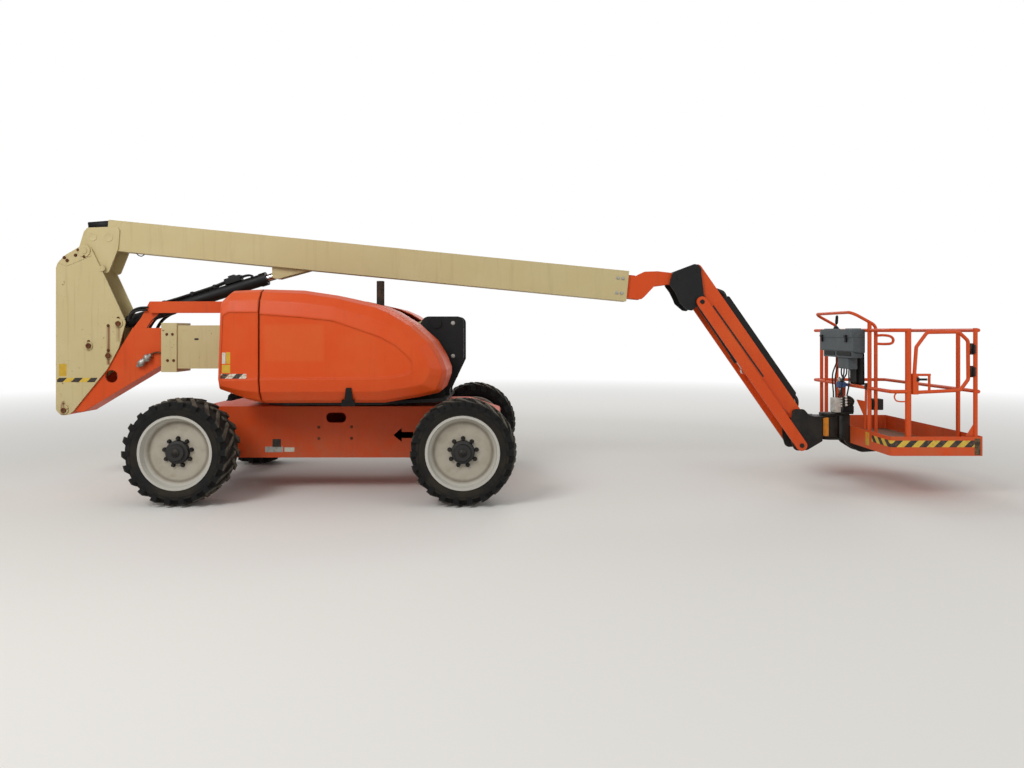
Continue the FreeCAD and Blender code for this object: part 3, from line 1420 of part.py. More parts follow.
# base pin, rod eye, barrel radius, rod radius, pin radius, half width of the eyes, eye's wall round its pin
TOWER_CYLINDER = (TOWER_CYLINDER_BASE, TOWER_CYLINDER_EYE, 58.0, 36.0, 30.0, 38.0, 16.0)
MAIN_CYLINDER = (MAIN_CYLINDER_BASE, MAIN_CYLINDER_EYE, 62.0, 38.0, 28.0, 40.0, 18.0)
JIB_CYLINDER = (LINK_TOP_PIN, on_arm(*JIB_CYLINDER_EYE), 37.0, 20.0, LINK_PIN_RADIUS, 27.0, 14.0)

# From the rod's eye to the barrel's end, so that the gland stays short of the eye's lugs when the rod is in
TOWER_ROD_OUT = 130.0
MAIN_ROD_OUT = 120.0
JIB_ROD_OUT = 118.0


def nodes():
    """Every node of the machine by name."""
    made = {
        "chassis_frame": chassis_frame(),
        "steer_axle": steer_axle(),
        "drive_axle": drive_axle(),
        "tie_rod": tie_rod(),
        "steer_knuckle_near": steer_knuckle(-1),
        "steer_knuckle_far": steer_knuckle(1),
        "turntable_frame": turntable_frame(),
        "counterweight": counterweight(),
        "hood_near": hood(-1),
        "hood_far": hood(1),
        "tail_cap_near": tail_cap(-1),
        "tail_cap_far": tail_cap(1),
        "engine_block": engine_block(-1),
        "tank_block": tank_block(1),
        "exhaust_stack": exhaust(),
        "tower_base": tower_base(),
        "tower_fly": tower_fly(),
        "upright": upright(),
        "main_boom": main_boom(),
        "main_fly": main_fly(),
        "jib_knuckle": jib_knuckle(),
        "jib_arm": jib_arm(),
        "hose_cover": hose_cover(),
        "jib_links": jib_links(),
        "jib_carrier": carrier(),
        "platform_support": platform_support(),
        "platform_deck": platform_deck(),
        "platform_rails": platform_rails(),
        "platform_gate": gate(),
        "control_console": control_console(),
        "tower_cylinder_barrel": cylinder_barrel(*TOWER_CYLINDER, TOWER_ROD_OUT),
        "tower_cylinder_rod": cylinder_rod(*TOWER_CYLINDER),
        "main_cylinder_barrel": cylinder_barrel(*MAIN_CYLINDER, MAIN_ROD_OUT),
        "main_cylinder_rod": cylinder_rod(*MAIN_CYLINDER),
        "jib_cylinder_barrel": cylinder_barrel(*JIB_CYLINDER, JIB_ROD_OUT),
        "jib_cylinder_rod": cylinder_rod(*JIB_CYLINDER),
    }
    for name, x, side in wheel_places():
        made["tyre_" + name] = tyre(x, side)
        made["rim_" + name] = rim(x, side)
    for shape in made.values():
        shape.translate(V(ORIGIN_SHIFT, 0, 0))
    return made


if __name__ == "__main__":
    os.makedirs("parts", exist_ok=True)
    for node, shape in nodes().items():
        shape.exportStep("parts/" + node + ".step")
        print(node, len(shape.Solids), round(shape.Volume / 1e9, 4), shape.isValid())
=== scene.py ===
# %% [markdown]
# # Articulating boom lift
# This lesson dresses a CAD model of a folded boom lift. The CAD gives the true sizes and the joints, and
# Blender gives the finish: weathered paint, rubber, chrome, stripes, hoses and bolts. The first cell opens
# the frame, which holds every CAD solid at its place in metres.

# %% Open the frame
import json
import math

import bpy
import numpy as np
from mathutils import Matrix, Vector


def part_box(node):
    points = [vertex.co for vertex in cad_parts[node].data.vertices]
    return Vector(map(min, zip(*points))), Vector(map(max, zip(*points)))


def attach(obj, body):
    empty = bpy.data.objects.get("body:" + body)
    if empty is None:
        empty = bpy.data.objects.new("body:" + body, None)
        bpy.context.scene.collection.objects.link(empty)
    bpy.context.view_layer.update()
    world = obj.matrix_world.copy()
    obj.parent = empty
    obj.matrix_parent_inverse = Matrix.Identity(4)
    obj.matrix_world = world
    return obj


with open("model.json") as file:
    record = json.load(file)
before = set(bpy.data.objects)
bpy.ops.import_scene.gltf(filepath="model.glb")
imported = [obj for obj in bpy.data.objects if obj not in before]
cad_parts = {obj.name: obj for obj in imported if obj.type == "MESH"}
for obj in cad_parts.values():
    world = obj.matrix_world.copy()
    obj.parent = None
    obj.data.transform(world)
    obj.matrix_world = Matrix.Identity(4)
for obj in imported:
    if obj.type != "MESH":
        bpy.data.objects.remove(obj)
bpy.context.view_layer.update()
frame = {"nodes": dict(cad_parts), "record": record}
NODES = frame["nodes"]

# %% [markdown]
# The camera stands where the photographer stood: level, at eye height, 7.9 m to the near side of the
# machine's middle plane. A level camera keeps upright lines upright, so the horizon is moved with the lens
# shift and not by tilting. `spot` is the same camera read backwards: it gives the point that a pixel shows
# on a plane of constant y, and it is how small parts are put at their places.

# %% Camera
EYE = np.array([0.1565, -7.875, 1.519])
FOCAL_PIXELS = 769.0
HORIZON_ROW = 332.0
FRAME_SIZE = (1024, 768)
SENSOR_MM = 36.0


def spot(column, row, y):
    """Point that a pixel shows on the plane of that y: offset in pixels times distance over focal length."""
    scale = (y - EYE[1]) / FOCAL_PIXELS
    return (EYE[0] + (column - FRAME_SIZE[0] / 2) * scale, y, EYE[2] - (row - HORIZON_ROW) * scale)


lens = bpy.data.cameras.new("camera")
lens.sensor_width = SENSOR_MM
lens.lens = SENSOR_MM * FOCAL_PIXELS / FRAME_SIZE[0]
lens.shift_y = (HORIZON_ROW - FRAME_SIZE[1] / 2) / FRAME_SIZE[0]
camera = bpy.data.objects.new("camera", lens)
camera.location = EYE
camera.rotation_euler = (math.pi / 2, 0, 0)
bpy.context.collection.objects.link(camera)
bpy.context.scene.camera = camera
print("lens", round(lens.lens, 2), "mm, shift", round(lens.shift_y, 4))

# %% [markdown]
# Colours are written as they look on screen, in sRGB, and shaders count in linear light, so one function
# turns one into the other. A second one adds a shader node with its settings and its links, which keeps
# each material short enough to read as a recipe.

# %% Colour and node helpers
DUST = "#8B7A60"


def linear(code):
    """Linear RGBA of an sRGB hex code: (c + 0.055) / 1.055 to the power 2.4 above 0.04045, else c / 12.92."""
    c = np.array([int(code[i:i + 2], 16) for i in (1, 3, 5)]) / 255
    c = np.where(c > 0.04045, ((c + 0.055) / 1.055) ** 2.4, c / 12.92)
    return (*c.tolist(), 1.0)


def add(tree, kind, settings=None, **links):
    """A node of that kind; links are sockets or values by input name, or by number written as i0, i1, i2."""
    made = tree.nodes.new("ShaderNode" + kind)
    for key, value in (settings or {}).items():
        setattr(made, key, value)
    for key, value in links.items():
        by_number = key[0] == "i" and key[1:].isdigit()
        socket = made.inputs[int(key[1:]) if by_number else key.replace("_", " ")]
        if isinstance(value, bpy.types.NodeSocket):
            tree.links.new(value, socket)
        else:
            socket.default_value = value
    return made


def material(name):
    """A new material whose node tree is empty, ready for a recipe."""
    made = bpy.data.materials.new(name)
    made.use_nodes = True
    made.node_tree.nodes.clear()
    return made, made.node_tree


def finish_material(made, shader, preview):
    """Joins the shader to an output and gives the viewport a similar colour."""
    add(made.node_tree, "OutputMaterial", Surface=shader)
    made.diffuse_color = linear(preview)
    return made


print("dust in linear light", [round(v, 3) for v in linear(DUST)])

# %% [markdown]
# Five small recipes recur in the finishes: noise of a real size in millimetres, a straight ramp between two
# values, a sum on two values, a mix of two colours, and a mask that is 1 inside a box and 0 outside it.

# %% Recipe helpers


def noise(tree, place, size_mm, detail=4.0, rough=0.55, stretch=(1, 1, 1)):
    """Noise whose blotches measure about size_mm, drawn out along an axis whose stretch is below 1."""
    mapped = add(tree, "Mapping", Vector=place, Scale=stretch)
    scale = 1000.0 / size_mm
    made = add(tree, "TexNoise", Vector=mapped.outputs[0], Scale=scale, Detail=detail, Roughness=rough)
    return made.outputs[0]


def ramp(tree, value, low, high, start=0.0, end=1.0):
    """Straight ramp from start at low to end at high, held outside."""
    made = add(tree, "MapRange", Value=value)
    for index, number in enumerate((low, high, start, end), 1):
        made.inputs[index].default_value = number
    return made.outputs[0]


def maths(tree, operation, a, b=0.0):
    """Result of one sum on two values or sockets."""
    return add(tree, "Math", {"operation": operation}, i0=a, i1=b).outputs[0]


def mix(tree, share, a, b):
    """Colour a where share is 0 and colour b where it is 1."""
    made = add(tree, "Mix", {"data_type": "RGBA"})
    for index, value in ((0, share), (6, a), (7, b)):
        if isinstance(value, bpy.types.NodeSocket):
            tree.links.new(value, made.inputs[index])
        else:
            made.inputs[index].default_value = value
    return made.outputs[2]


def box_mask(tree, axes, box, soft):
    """1 inside a box of (axis, low, high) rows and 0 outside, with edges soft metres wide."""
    mask = None
    for axis, low, high in box:
        rise = ramp(tree, axes[axis], low - soft, low + soft)
        fall = ramp(tree, axes[axis], high - soft, high + soft, 1.0, 0.0)
        inside = maths(tree, "MULTIPLY", rise, fall)
        mask = inside if mask is None else maths(tree, "MULTIPLY", mask, inside)
    return mask


print("five recipe helpers are ready")

# %% [markdown]
# ## Weathered enamel
# The machine's panels are sheet steel, sprayed with a two-pack enamel and left outdoors for years. The eye
# sees four things: the gloss has gone chalky in cloudy patches, dust lies thicker low down, rain has drawn
# faint vertical streaks, and rust shows in small chips. Each is one noise of a real size. Chalk, dust and
# rust raise the roughness too, because they are matter than sound paint. A Bevel node rounds the edges, in
# the normal alone, and most widely on the moulded hood.

# %% Weathered enamel
STREAK_BROWN = "#5A3A24"
RUST_DARK, RUST_LIGHT = "#4A2413", "#8A4A22"
CLOUD_MM, STREAK_MM, GRIME_MM, CHIP_MM, FINE_MM = 420, 46, 130, 38, 9


def enamel(name, base, chalk, rust_share=0.5, gloss=0.38, dust_top=0.9, faded=None, runs=(), dust=0.2,
           edge=0.003, streaks=0.16, chip_from=0.665):
    """Sprayed enamel that has weathered. faded is a box of washed-out paint, runs are boxes of rust runs."""
    made, tree = material(name)
    place = add(tree, "TexCoord").outputs["Object"]
    axes = add(tree, "SeparateXYZ", Vector=place).outputs
    cloud = noise(tree, place, CLOUD_MM, 5, 0.62)
    streak = noise(tree, place, STREAK_MM, 3, 0.6, (1, 1, 0.06))
    fine = noise(tree, place, FINE_MM, 3, 0.6)
    colour = mix(tree, ramp(tree, cloud, 0.45, 0.75, 0.0, 0.45), linear(base), linear(chalk))
    colour = mix(tree, ramp(tree, streak, 0.55, 0.75, 0.0, streaks), colour, linear(STREAK_BROWN))
    if faded:
        patchy = ramp(tree, fine, 0.2, 0.6, 0.55, 1.0)
        patch = maths(tree, "MULTIPLY", box_mask(tree, axes, faded, 0.012), patchy)
        colour = mix(tree, maths(tree, "MULTIPLY", patch, 0.45), colour, linear(chalk))
    low = ramp(tree, axes[2], 0.25, dust_top, 1.0, 0.0)
    grime = maths(tree, "MULTIPLY", low, ramp(tree, noise(tree, place, GRIME_MM, 5, 0.65), 0.3, 0.65))
    colour = mix(tree, maths(tree, "MULTIPLY", grime, dust), colour, linear(DUST))
    chips = ramp(tree, noise(tree, place, CHIP_MM, 6, 0.72), chip_from, chip_from + 0.035)
    chips = maths(tree, "MULTIPLY", chips, ramp(tree, cloud, 0.45, 0.6))
    chips = maths(tree, "MULTIPLY", chips, rust_share)
    for run in runs:
        drip = maths(tree, "MULTIPLY", box_mask(tree, axes, run, 0.008), ramp(tree, streak, 0.30, 0.55))
        chips = maths(tree, "MAXIMUM", chips, maths(tree, "MULTIPLY", drip, 0.85))
    rust = mix(tree, fine, linear(RUST_DARK), linear(RUST_LIGHT))
    colour = mix(tree, chips, colour, rust)
    rough = ramp(tree, cloud, 0.3, 0.75, gloss, gloss + 0.22)
    rough = maths(tree, "MAXIMUM", rough, maths(tree, "MULTIPLY", maths(tree, "MAXIMUM", chips, grime), 0.82))
    soft_edge = add(tree, "Bevel", {"samples": 4}, Radius=edge)
    bump = add(tree, "Bump", Strength=0.06, Distance=0.0006, Height=fine, Normal=soft_edge.outputs[0])
    rusted = add(tree, "Bump", Strength=0.35, Distance=0.0008, Height=chips, Normal=bump.outputs[0])
    shader = add(tree, "BsdfPrincipled", Base_Color=colour, Roughness=rough, Normal=rusted.outputs[0])
    shader.inputs["Specular IOR Level"].default_value = 0.28
    return finish_material(made, shader.outputs[0], base)


print("enamel recipe ready")

# %% [markdown]
# The machine has two enamels, an orange and a cream. The same two pots look different from part to part:
# the hood is glossier, the chassis dustier, the deck scraped, and the upright has rust runs under its pins.
# A rectangle on the hood has washed out.

# %% Enamels of the machine
ORANGE, ORANGE_CHALK = "#D04A12", "#D2602A"
CREAM, CREAM_CHALK = "#C2B283", "#CCBE95"
HOOD_FADE = [(0, -2.01, -1.49), (2, 1.262, 1.585), (1, -1.3, 1.3)]
# left, right, foot and head of each rust run on the upright
RUST_RUNS = (
    (-3.915, -3.885, 1.19, 1.58),
    (-3.82, -3.785, 1.42, 1.62),
    (-4.37, -4.335, 0.68, 0.82),
    (-4.112, -4.088, 1.33, 1.43),
)
UPRIGHT_RUNS = [[(0, left, right), (2, foot, head), (1, -0.2, 0.2)] for left, right, foot, head in RUST_RUNS]
orange_enamel = enamel("weathered_orange_enamel", ORANGE, ORANGE_CHALK, 0.55)
hood_enamel = enamel("sun_faded_hood_enamel", ORANGE, ORANGE_CHALK, 0.3, 0.30, 1.15, HOOD_FADE, edge=0.022,
                     streaks=0.08)
jib_enamel = enamel("jib_orange_enamel", ORANGE, ORANGE_CHALK, 0.7, dust_top=0.5)
cream_enamel = enamel("weathered_cream_enamel", CREAM, CREAM_CHALK, 0.9, 0.42, 0.9, runs=UPRIGHT_RUNS,
                      chip_from=0.625)
boom_enamel = enamel("boom_cream_enamel", CREAM, CREAM_CHALK, 0.6, 0.4, 0.9, streaks=0.10)
chassis_enamel = enamel("road_dusted_chassis_enamel", "#C6440F", "#BC5426", 0.5, 0.42, 0.8, dust=0.28)
deck_enamel = enamel("scraped_deck_enamel", ORANGE, "#BE6636", 1.0, 0.42, 0.9, dust=0.25)
print("enamels", [m.name for m in bpy.data.materials if "enamel" in m.name])

# %% [markdown]
# ## Black satin paint, rubber and plastic
# Brackets and cylinders have a satin black paint that greys where hands and hoses rub it. Tyres are
# carbon-black rubber, dull, with dust held in the pores. Covers are moulded polyethylene with a fine
# leather grain. All of them are an even colour with one large cloud of wear and one fine grain, so one
# recipe serves them all.

# %% Satin recipe


def satin(name, base, worn, rough=0.45, grain_mm=3.0, bump=0.05, metal=0.0, dust=0.25, blotch=160):
    """Even finish with clouds of wear: two colours, a large noise for wear and a fine one for the surface."""
    made, tree = material(name)
    place = add(tree, "TexCoord").outputs["Object"]
    cloud = noise(tree, place, blotch, 5, 0.62)
    grain = noise(tree, place, grain_mm, 2, 0.5)
    height = add(tree, "SeparateXYZ", Vector=place).outputs[2]
    colour = mix(tree, ramp(tree, cloud, 0.45, 0.7), linear(base), linear(worn))
    settled = maths(tree, "MULTIPLY", ramp(tree, height, 0.2, 1.3, 1.0, 0.0), ramp(tree, cloud, 0.35, 0.6))
    colour = mix(tree, maths(tree, "MULTIPLY", settled, dust), colour, linear(DUST))
    bumped = add(tree, "Bump", Strength=bump * 4, Distance=0.0005, Height=grain)
    worn_rough = ramp(tree, cloud, 0.3, 0.7, rough, rough + 0.2)
    shader = add(tree, "BsdfPrincipled", Base_Color=colour, Roughness=worn_rough, Normal=bumped.outputs[0])
    shader.inputs["Metallic"].default_value = metal
    shader.inputs["Specular IOR Level"].default_value = 0.5 if metal else 0.25
    return finish_material(made, shader.outputs[0], base)


black_satin = satin("satin_black_paint", "#0B0C0D", "#161716", 0.40, dust=0.07)
tyre_rubber = satin("dusty_tyre_rubber", "#0C0C0C", "#171614", 0.72, 5.0, 0.12, dust=0.07, blotch=220)
cover_plastic = satin("moulded_black_polyethylene", "#0F0F0F", "#1A1A19", 0.5, 2.0, 0.12, dust=0.05)
hose_rubber = satin("hydraulic_hose_rubber", "#171717", "#2A2A28", 0.55, 2.0, 0.1)
oily_black = satin("oily_black_hub", "#0D0E10", "#1E1C19", 0.38, 3.0, 0.1, dust=0.08, blotch=60)
console_paint = satin("slate_console_paint", "#4B5356", "#5A6265", 0.42, 2.0, 0.06, dust=0.05)
blue_paint = satin("blue_valve_paint", "#2B4C7A", "#3A5A86", 0.4)
worn_tread = satin("worn_tread_paint", "#6A3A22", "#54463A", 0.6, 4.0, 0.1, dust=0.35, blotch=110)
print("paint, rubber and plastic done")

# %% [markdown]
# ## Metals and vinyl
# Bolts have rusted through their plating, the exhaust is scorched brown, and valves are zinc-plated or cast
# aluminium, which dull to a soft grey. The cylinder rods are hard chrome on ground steel: metallic, with
# fine scratches. Labels and tapes are printed vinyl that has faded, and they stay blank here.

# %% Metals and vinyl
rusty_steel = satin("rusted_bare_steel", "#5A3520", "#7A4A2C", 0.8, 3.0, 0.3, dust=0.2, blotch=60)
exhaust_steel = satin("scorched_exhaust_steel", "#2E2925", "#5A4636", 0.65, 3.0, 0.2, 0.6, blotch=70)
zinc = satin("zinc_plated_steel", "#A9A8A2", "#8F8B80", 0.4, 2.0, 0.05, 0.85, dust=0.1, blotch=30)
cast_aluminium = satin("cast_aluminium", "#C2C0B8", "#A29E92", 0.45, 2.0, 0.08, 0.3, dust=0.05, blotch=30)
VINYL_LOOK = {"rough": 0.5, "grain_mm": 2.0, "bump": 0.02, "dust": 0.1, "blotch": 40}
label_yellow = satin("faded_yellow_vinyl", "#C9A233", "#B8963C", **VINYL_LOOK)
label_white = satin("faded_white_vinyl", "#C8C4B6", "#B5AE9C", **VINYL_LOOK)
label_amber = satin("amber_vinyl", "#D98A24", "#C27A2A", **VINYL_LOOK)
dark_vinyl = satin("dark_vinyl", "#2A2622", "#37312A", **VINYL_LOOK)
scraped_vinyl = satin("scraped_vinyl", "#3A3024", "#7A5A34", 0.6, 2.0, 0.02, dust=0.2, blotch=30)
white_tape = satin("white_marker_tape", "#D9D7D0", "#B9B5AA", 0.5, 2.0, 0.02, dust=0.1, blotch=20)
CHROME = "#C6C7C8"


def chrome(name):
    """Ground and plated rod: metal with very fine noise in its roughness."""
    made, tree = material(name)
    place = add(tree, "TexCoord").outputs["Object"]
    scratch = noise(tree, place, 6, 3, 0.6, (1, 0.15, 1))
    shader = add(tree, "BsdfPrincipled", Roughness=ramp(tree, scratch, 0.3, 0.7, 0.10, 0.24))
    shader.inputs["Base Color"].default_value = linear(CHROME)
    shader.inputs["Metallic"].default_value = 1.0
    return finish_material(made, shader.outputs[0], CHROME)


rod_chrome = chrome("hard_chrome_rod")
print("finishes", len(bpy.data.materials))

# %% [markdown]
# ## Hazard stripes
# Black and yellow vinyl tape warns where the machine can strike someone. The stripes lean at 45 degrees and
# repeat every 120 to 160 mm along the tape. They are printed, so they have no relief of their own. A sum of
# the coordinates, divided by the repeat and cut down to its fraction, gives them, and a noise lets the
# years rub parts of them away.

# %% Striped tape


def stripe_share(tree, axes, pitch):
    """1 on one half of each stripe pair: the fraction of (x + y - z) over the pitch, compared with a half."""
    slant = maths(tree, "SUBTRACT", maths(tree, "ADD", axes[0], axes[1]), axes[2])
    return maths(tree, "LESS_THAN", maths(tree, "FRACT", maths(tree, "DIVIDE", slant, pitch)), 0.5)


def hazard_tape(name, pitch, wear=0.35, pale="#D2B03A"):
    """Black and pale tape with worn places that show the paint under it."""
    made, tree = material(name)
    place = add(tree, "TexCoord").outputs["Object"]
    axes = add(tree, "SeparateXYZ", Vector=place).outputs
    colour = mix(tree, stripe_share(tree, axes, pitch), linear(pale), linear("#1B1916"))
    rubbed = ramp(tree, noise(tree, place, 28, 5, 0.7), 0.5, 0.62)
    colour = mix(tree, maths(tree, "MULTIPLY", rubbed, wear), colour, linear("#8A5A3A"))
    shader = add(tree, "BsdfPrincipled", Base_Color=colour)
    shader.inputs["Roughness"].default_value = 0.5
    return finish_material(made, shader.outputs[0], pale)


hazard = hazard_tape("hazard_tape", 0.136)
long_hazard = hazard_tape("upright_hazard_tape", 0.160, 0.2)
worn_hazard = hazard_tape("worn_hazard_tape", 0.120, 0.75, "#D6CDBB")
print("striped tapes", sum("hazard" in m.name for m in bpy.data.materials))

# %% [markdown]
# ## Rims and tyres
# Each rim is one solid with its hub. On the machine the planetary hub is black and oily and the disc is a
# pale enamel under dust; a ring between the disc and the lip is made darker and brown, and the lip is a
# plainer, paler grey. Each tyre is black, with pale road dust on the tops of its lugs. The distance from the
# axle tells all these apart. It is worked out from Object coordinates with the axle's own place, so each
# wheel has its own copy of the recipe.

# %% Rims and tyres
HUB_RADIUS = 0.104
GROOVE_FROM, GROOVE_TO = (0.236, 0.256), (0.262, 0.276)
LIP_FROM = (0.272, 0.286)
LUG_DUST = (-0.030, -0.004)


def from_axle(tree, place, axle):
    """Distance from the axle's line: the length of the place with its y struck out."""
    moved = add(tree, "Mapping", Vector=place, Location=(-axle[0], 0, -axle[2]), Scale=(1, 0, 1))
    return add(tree, "VectorMath", {"operation": "LENGTH"}, i0=moved.outputs[0]).outputs["Value"]


def rim_finish(name, axle):
    """Dusty pale enamel outside the hub's radius and oily black inside it."""
    made, tree = material(name)
    place = add(tree, "TexCoord").outputs["Object"]
    reach = from_axle(tree, place, axle)
    cloud = noise(tree, place, 90, 5, 0.65)
    fine = noise(tree, place, 12, 4, 0.7)
    pale = mix(tree, ramp(tree, cloud, 0.45, 0.75, 0.0, 0.6), linear("#A8A192"), linear("#8F8470"))
    pale = mix(tree, ramp(tree, reach, *LIP_FROM), pale, linear("#B4B1A8"))
    # darker and browner in a ring between the disc and the lip
    groove = maths(tree, "MULTIPLY", ramp(tree, reach, *GROOVE_FROM), ramp(tree, reach, *GROOVE_TO, 1.0, 0.0))
    pale = mix(tree, maths(tree, "MULTIPLY", groove, 0.55), pale, linear("#4E4538"))
    pale = mix(tree, ramp(tree, fine, 0.68, 0.74, 0.0, 0.7), pale, linear("#6E5138"))
    hub = mix(tree, ramp(tree, cloud, 0.45, 0.7, 0.0, 0.5), linear("#0E0D0C"), linear("#2C2822"))
    colour = mix(tree, ramp(tree, reach, HUB_RADIUS - 0.0005, HUB_RADIUS + 0.0005), hub, pale)
    bumped = add(tree, "Bump", Strength=0.2, Distance=0.0006, Height=fine)
    rough = ramp(tree, cloud, 0.3, 0.7, 0.55, 0.8)
    shader = add(tree, "BsdfPrincipled", Base_Color=colour, Roughness=rough, Normal=bumped.outputs[0])
    return finish_material(made, shader.outputs[0], "#AFABA0")


def tyre_finish(name, axle):
    """Black rubber whose lug tops, the last 30 mm of the radius, hold pale road dust in patches."""
    made, tree = material(name)
    place = add(tree, "TexCoord").outputs["Object"]
    # the tyre stands on the ground, so the axle's height is its radius
    outer = axle[2]
    reach = from_axle(tree, place, axle)
    cloud = noise(tree, place, 110, 5, 0.65)
    grain = noise(tree, place, 5, 2, 0.5)
    rubber = mix(tree, ramp(tree, cloud, 0.45, 0.7), linear("#0C0C0C"), linear("#191816"))
    patchy = ramp(tree, cloud, 0.38, 0.60, 0.10, 0.62)
    dusty = maths(tree, "MULTIPLY", ramp(tree, reach, outer + LUG_DUST[0], outer + LUG_DUST[1]), patchy)
    colour = mix(tree, dusty, rubber, linear("#8F8777"))
    bumped = add(tree, "Bump", Strength=0.48, Distance=0.0005, Height=grain)
    rough = ramp(tree, cloud, 0.3, 0.7, 0.72, 0.92)
    shader = add(tree, "BsdfPrincipled", Base_Color=colour, Roughness=rough, Normal=bumped.outputs[0])
    shader.inputs["Specular IOR Level"].default_value = 0.25
    return finish_material(made, shader.outputs[0], "#0C0C0C")


print("rim and tyre recipes ready")

# %% [markdown]
# Every CAD solid now gets its finish. Most go by the material slot that the CAD gave them, some parts have
# a finish of their own, and rims and tyres need their axle's place, which is the middle of their box.

# %% Finishes on the CAD solids
SLOT_FINISH = {
    "orange_paint": orange_enamel, "cream_paint": cream_enamel, "black_paint": black_satin,
    "rod_chrome": rod_chrome, "cast_weight": hood_enamel, "machine_grey": console_paint,
    "cover_plastic": cover_plastic,
}
NODE_FINISH = {
    "hood_near": hood_enamel, "hood_far": hood_enamel, "chassis_frame": chassis_enamel, "jib_arm": jib_enamel,
    "jib_links": jib_enamel, "main_boom": boom_enamel, "platform_deck": deck_enamel,
    "exhaust_stack": exhaust_steel,
}
WHEEL_FINISH = {"rim": rim_finish, "tyre": tyre_finish}


def centre(node):
    """Middle of a CAD node's box."""
    low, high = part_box(node)
    return (np.array(low) + np.array(high)) / 2


slot_of = {part["node"]: part["material_slot"] for part in frame["record"]["subparts"]}
for node_name, solid in NODES.items():
    kind = node_name.split("_")[0]
    if kind in WHEEL_FINISH:
        finish = WHEEL_FINISH[kind]("finish_" + node_name, centre(node_name).tolist())
    else:
        finish = NODE_FINISH.get(node_name) or SLOT_FINISH[slot_of[node_name]]
    solid.data.materials.clear()
    solid.data.materials.append(finish)
print("finished solids", len(NODES))

# %% [markdown]
# ## Surfaces from numbers
# Every new piece is a surface worked out as whole arrays: its points, and its faces as lists of point
# numbers. `piece` puts such a pair into a mesh that sits at the origin and rides on one body of the
# machine. Bolts and plates have flat faces, and hoses and knobs are shaded smooth. `lattice` lists the
# faces of any surface that is rows of points closed round.

# %% Pieces and lattices


def piece(name, surface, finish, body, smooth=True):
    """A mesh object from points and faces, which rides on a body of the machine."""
    points, faces = surface
    mesh = bpy.data.meshes.new(name)
    mesh.from_pydata(np.asarray(points, float).tolist(), [], [list(map(int, face)) for face in faces])
    mesh.polygons.foreach_set("use_smooth", np.full(len(mesh.polygons), smooth))
    mesh.update()
    mesh.materials.append(finish)
    made = bpy.data.objects.new(name, mesh)
    bpy.context.collection.objects.link(made)
    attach(made, body)


def flat_piece(name, surface, finish, body):
    """A piece whose faces stay flat."""
    piece(name, surface, finish, body, smooth=False)


def lattice(rows, columns, flip=False):
    """Quads of a grid closed round its columns: each point, the next in its row and the two above them."""
    row, column = np.meshgrid(np.arange(rows - 1), np.arange(columns), indexing="ij")
    on = (column + 1) % columns
    here, above = row * columns, (row + 1) * columns
    quads = np.stack([here + column, here + on, above + on, above + column], -1).reshape(-1, 4)
    return (quads[:, ::-1] if flip else quads).tolist()


def end_faces(rows, columns):
    """The two faces that close a lattice's first row and last row."""
    last = (rows - 1) * columns
    return [list(range(columns))[::-1], list(range(last, last + columns))]


def merged(*surfaces):
    """Several surfaces as one: points stacked, and each one's face numbers moved on by those before it."""
    points, faces, start = [], [], 0
    for more_points, more_faces in surfaces:
        points.append(more_points)
        faces += [[index + start for index in face] for face in more_faces]
        start += len(more_points)
    return np.vstack(points), faces


def both_sides(surface):
    """The surface and its mirror image across the machine's middle plane, whose faces turn the other way."""
    points, faces = surface
    return merged(surface, (points * (1, -1, 1), [face[::-1] for face in faces]))


print("faces of a closed grid of 3 by 8:", len(lattice(3, 8)))

# %% [markdown]
# A hose is a circle carried along a smooth path, and a knob is a profile turned about an axis. The circle
# needs two directions across the path at each point. If each pair is made from the last one, the tube
# doesn't twist.

# %% Tubes and turned shapes


def smooth_path(points, steps=8):
    """Catmull-Rom curve through the points: each stretch is a cubic that leans along the chord beside it."""
    p = np.asarray(points, float)
    p = np.vstack([2 * p[0] - p[1], p, 2 * p[-1] - p[-2]])
    t = np.linspace(0, 1, steps, endpoint=False)[:, None]
    a, b, c, d = p[:-3, None], p[1:-2, None], p[2:-1, None], p[3:, None]
    square, cube = 2 * a - 5 * b + 4 * c - d, 3 * b - a - 3 * c + d
    curve = 0.5 * (2 * b + (c - a) * t + square * t ** 2 + cube * t ** 3)
    return np.vstack([curve.reshape(-1, 3), p[-2]])


def frames_along(path):
    """Two unit normals at each point of a path: the last normal, less its part along the new tangent."""
    tangent = np.gradient(path, axis=0)
    tangent /= np.linalg.norm(tangent, axis=1)[:, None]
    side = np.cross(tangent[0], (0, 0, 1) if abs(tangent[0][2]) < 0.9 else (1, 0, 0))
    normals = []
    for direction in tangent:
        side = side - direction * np.dot(side, direction)
        side = side / np.linalg.norm(side)
        normals.append(side)
    normals = np.array(normals)
    return normals, np.cross(tangent, normals)


def tube(path, radius, sides=10):
    """Round tube: path + radius times (cos u normal + sin u binormal), closed by a flat face at each end."""
    path = np.asarray(path, float)
    first, second = frames_along(path)
    turn = np.linspace(0, 2 * np.pi, sides, endpoint=False)
    ring = first[:, None] * np.cos(turn)[None, :, None] + second[:, None] * np.sin(turn)[None, :, None]
    points = (path[:, None] + ring * radius).reshape(-1, 3)
    return points, lattice(len(path), sides) + end_faces(len(path), sides)


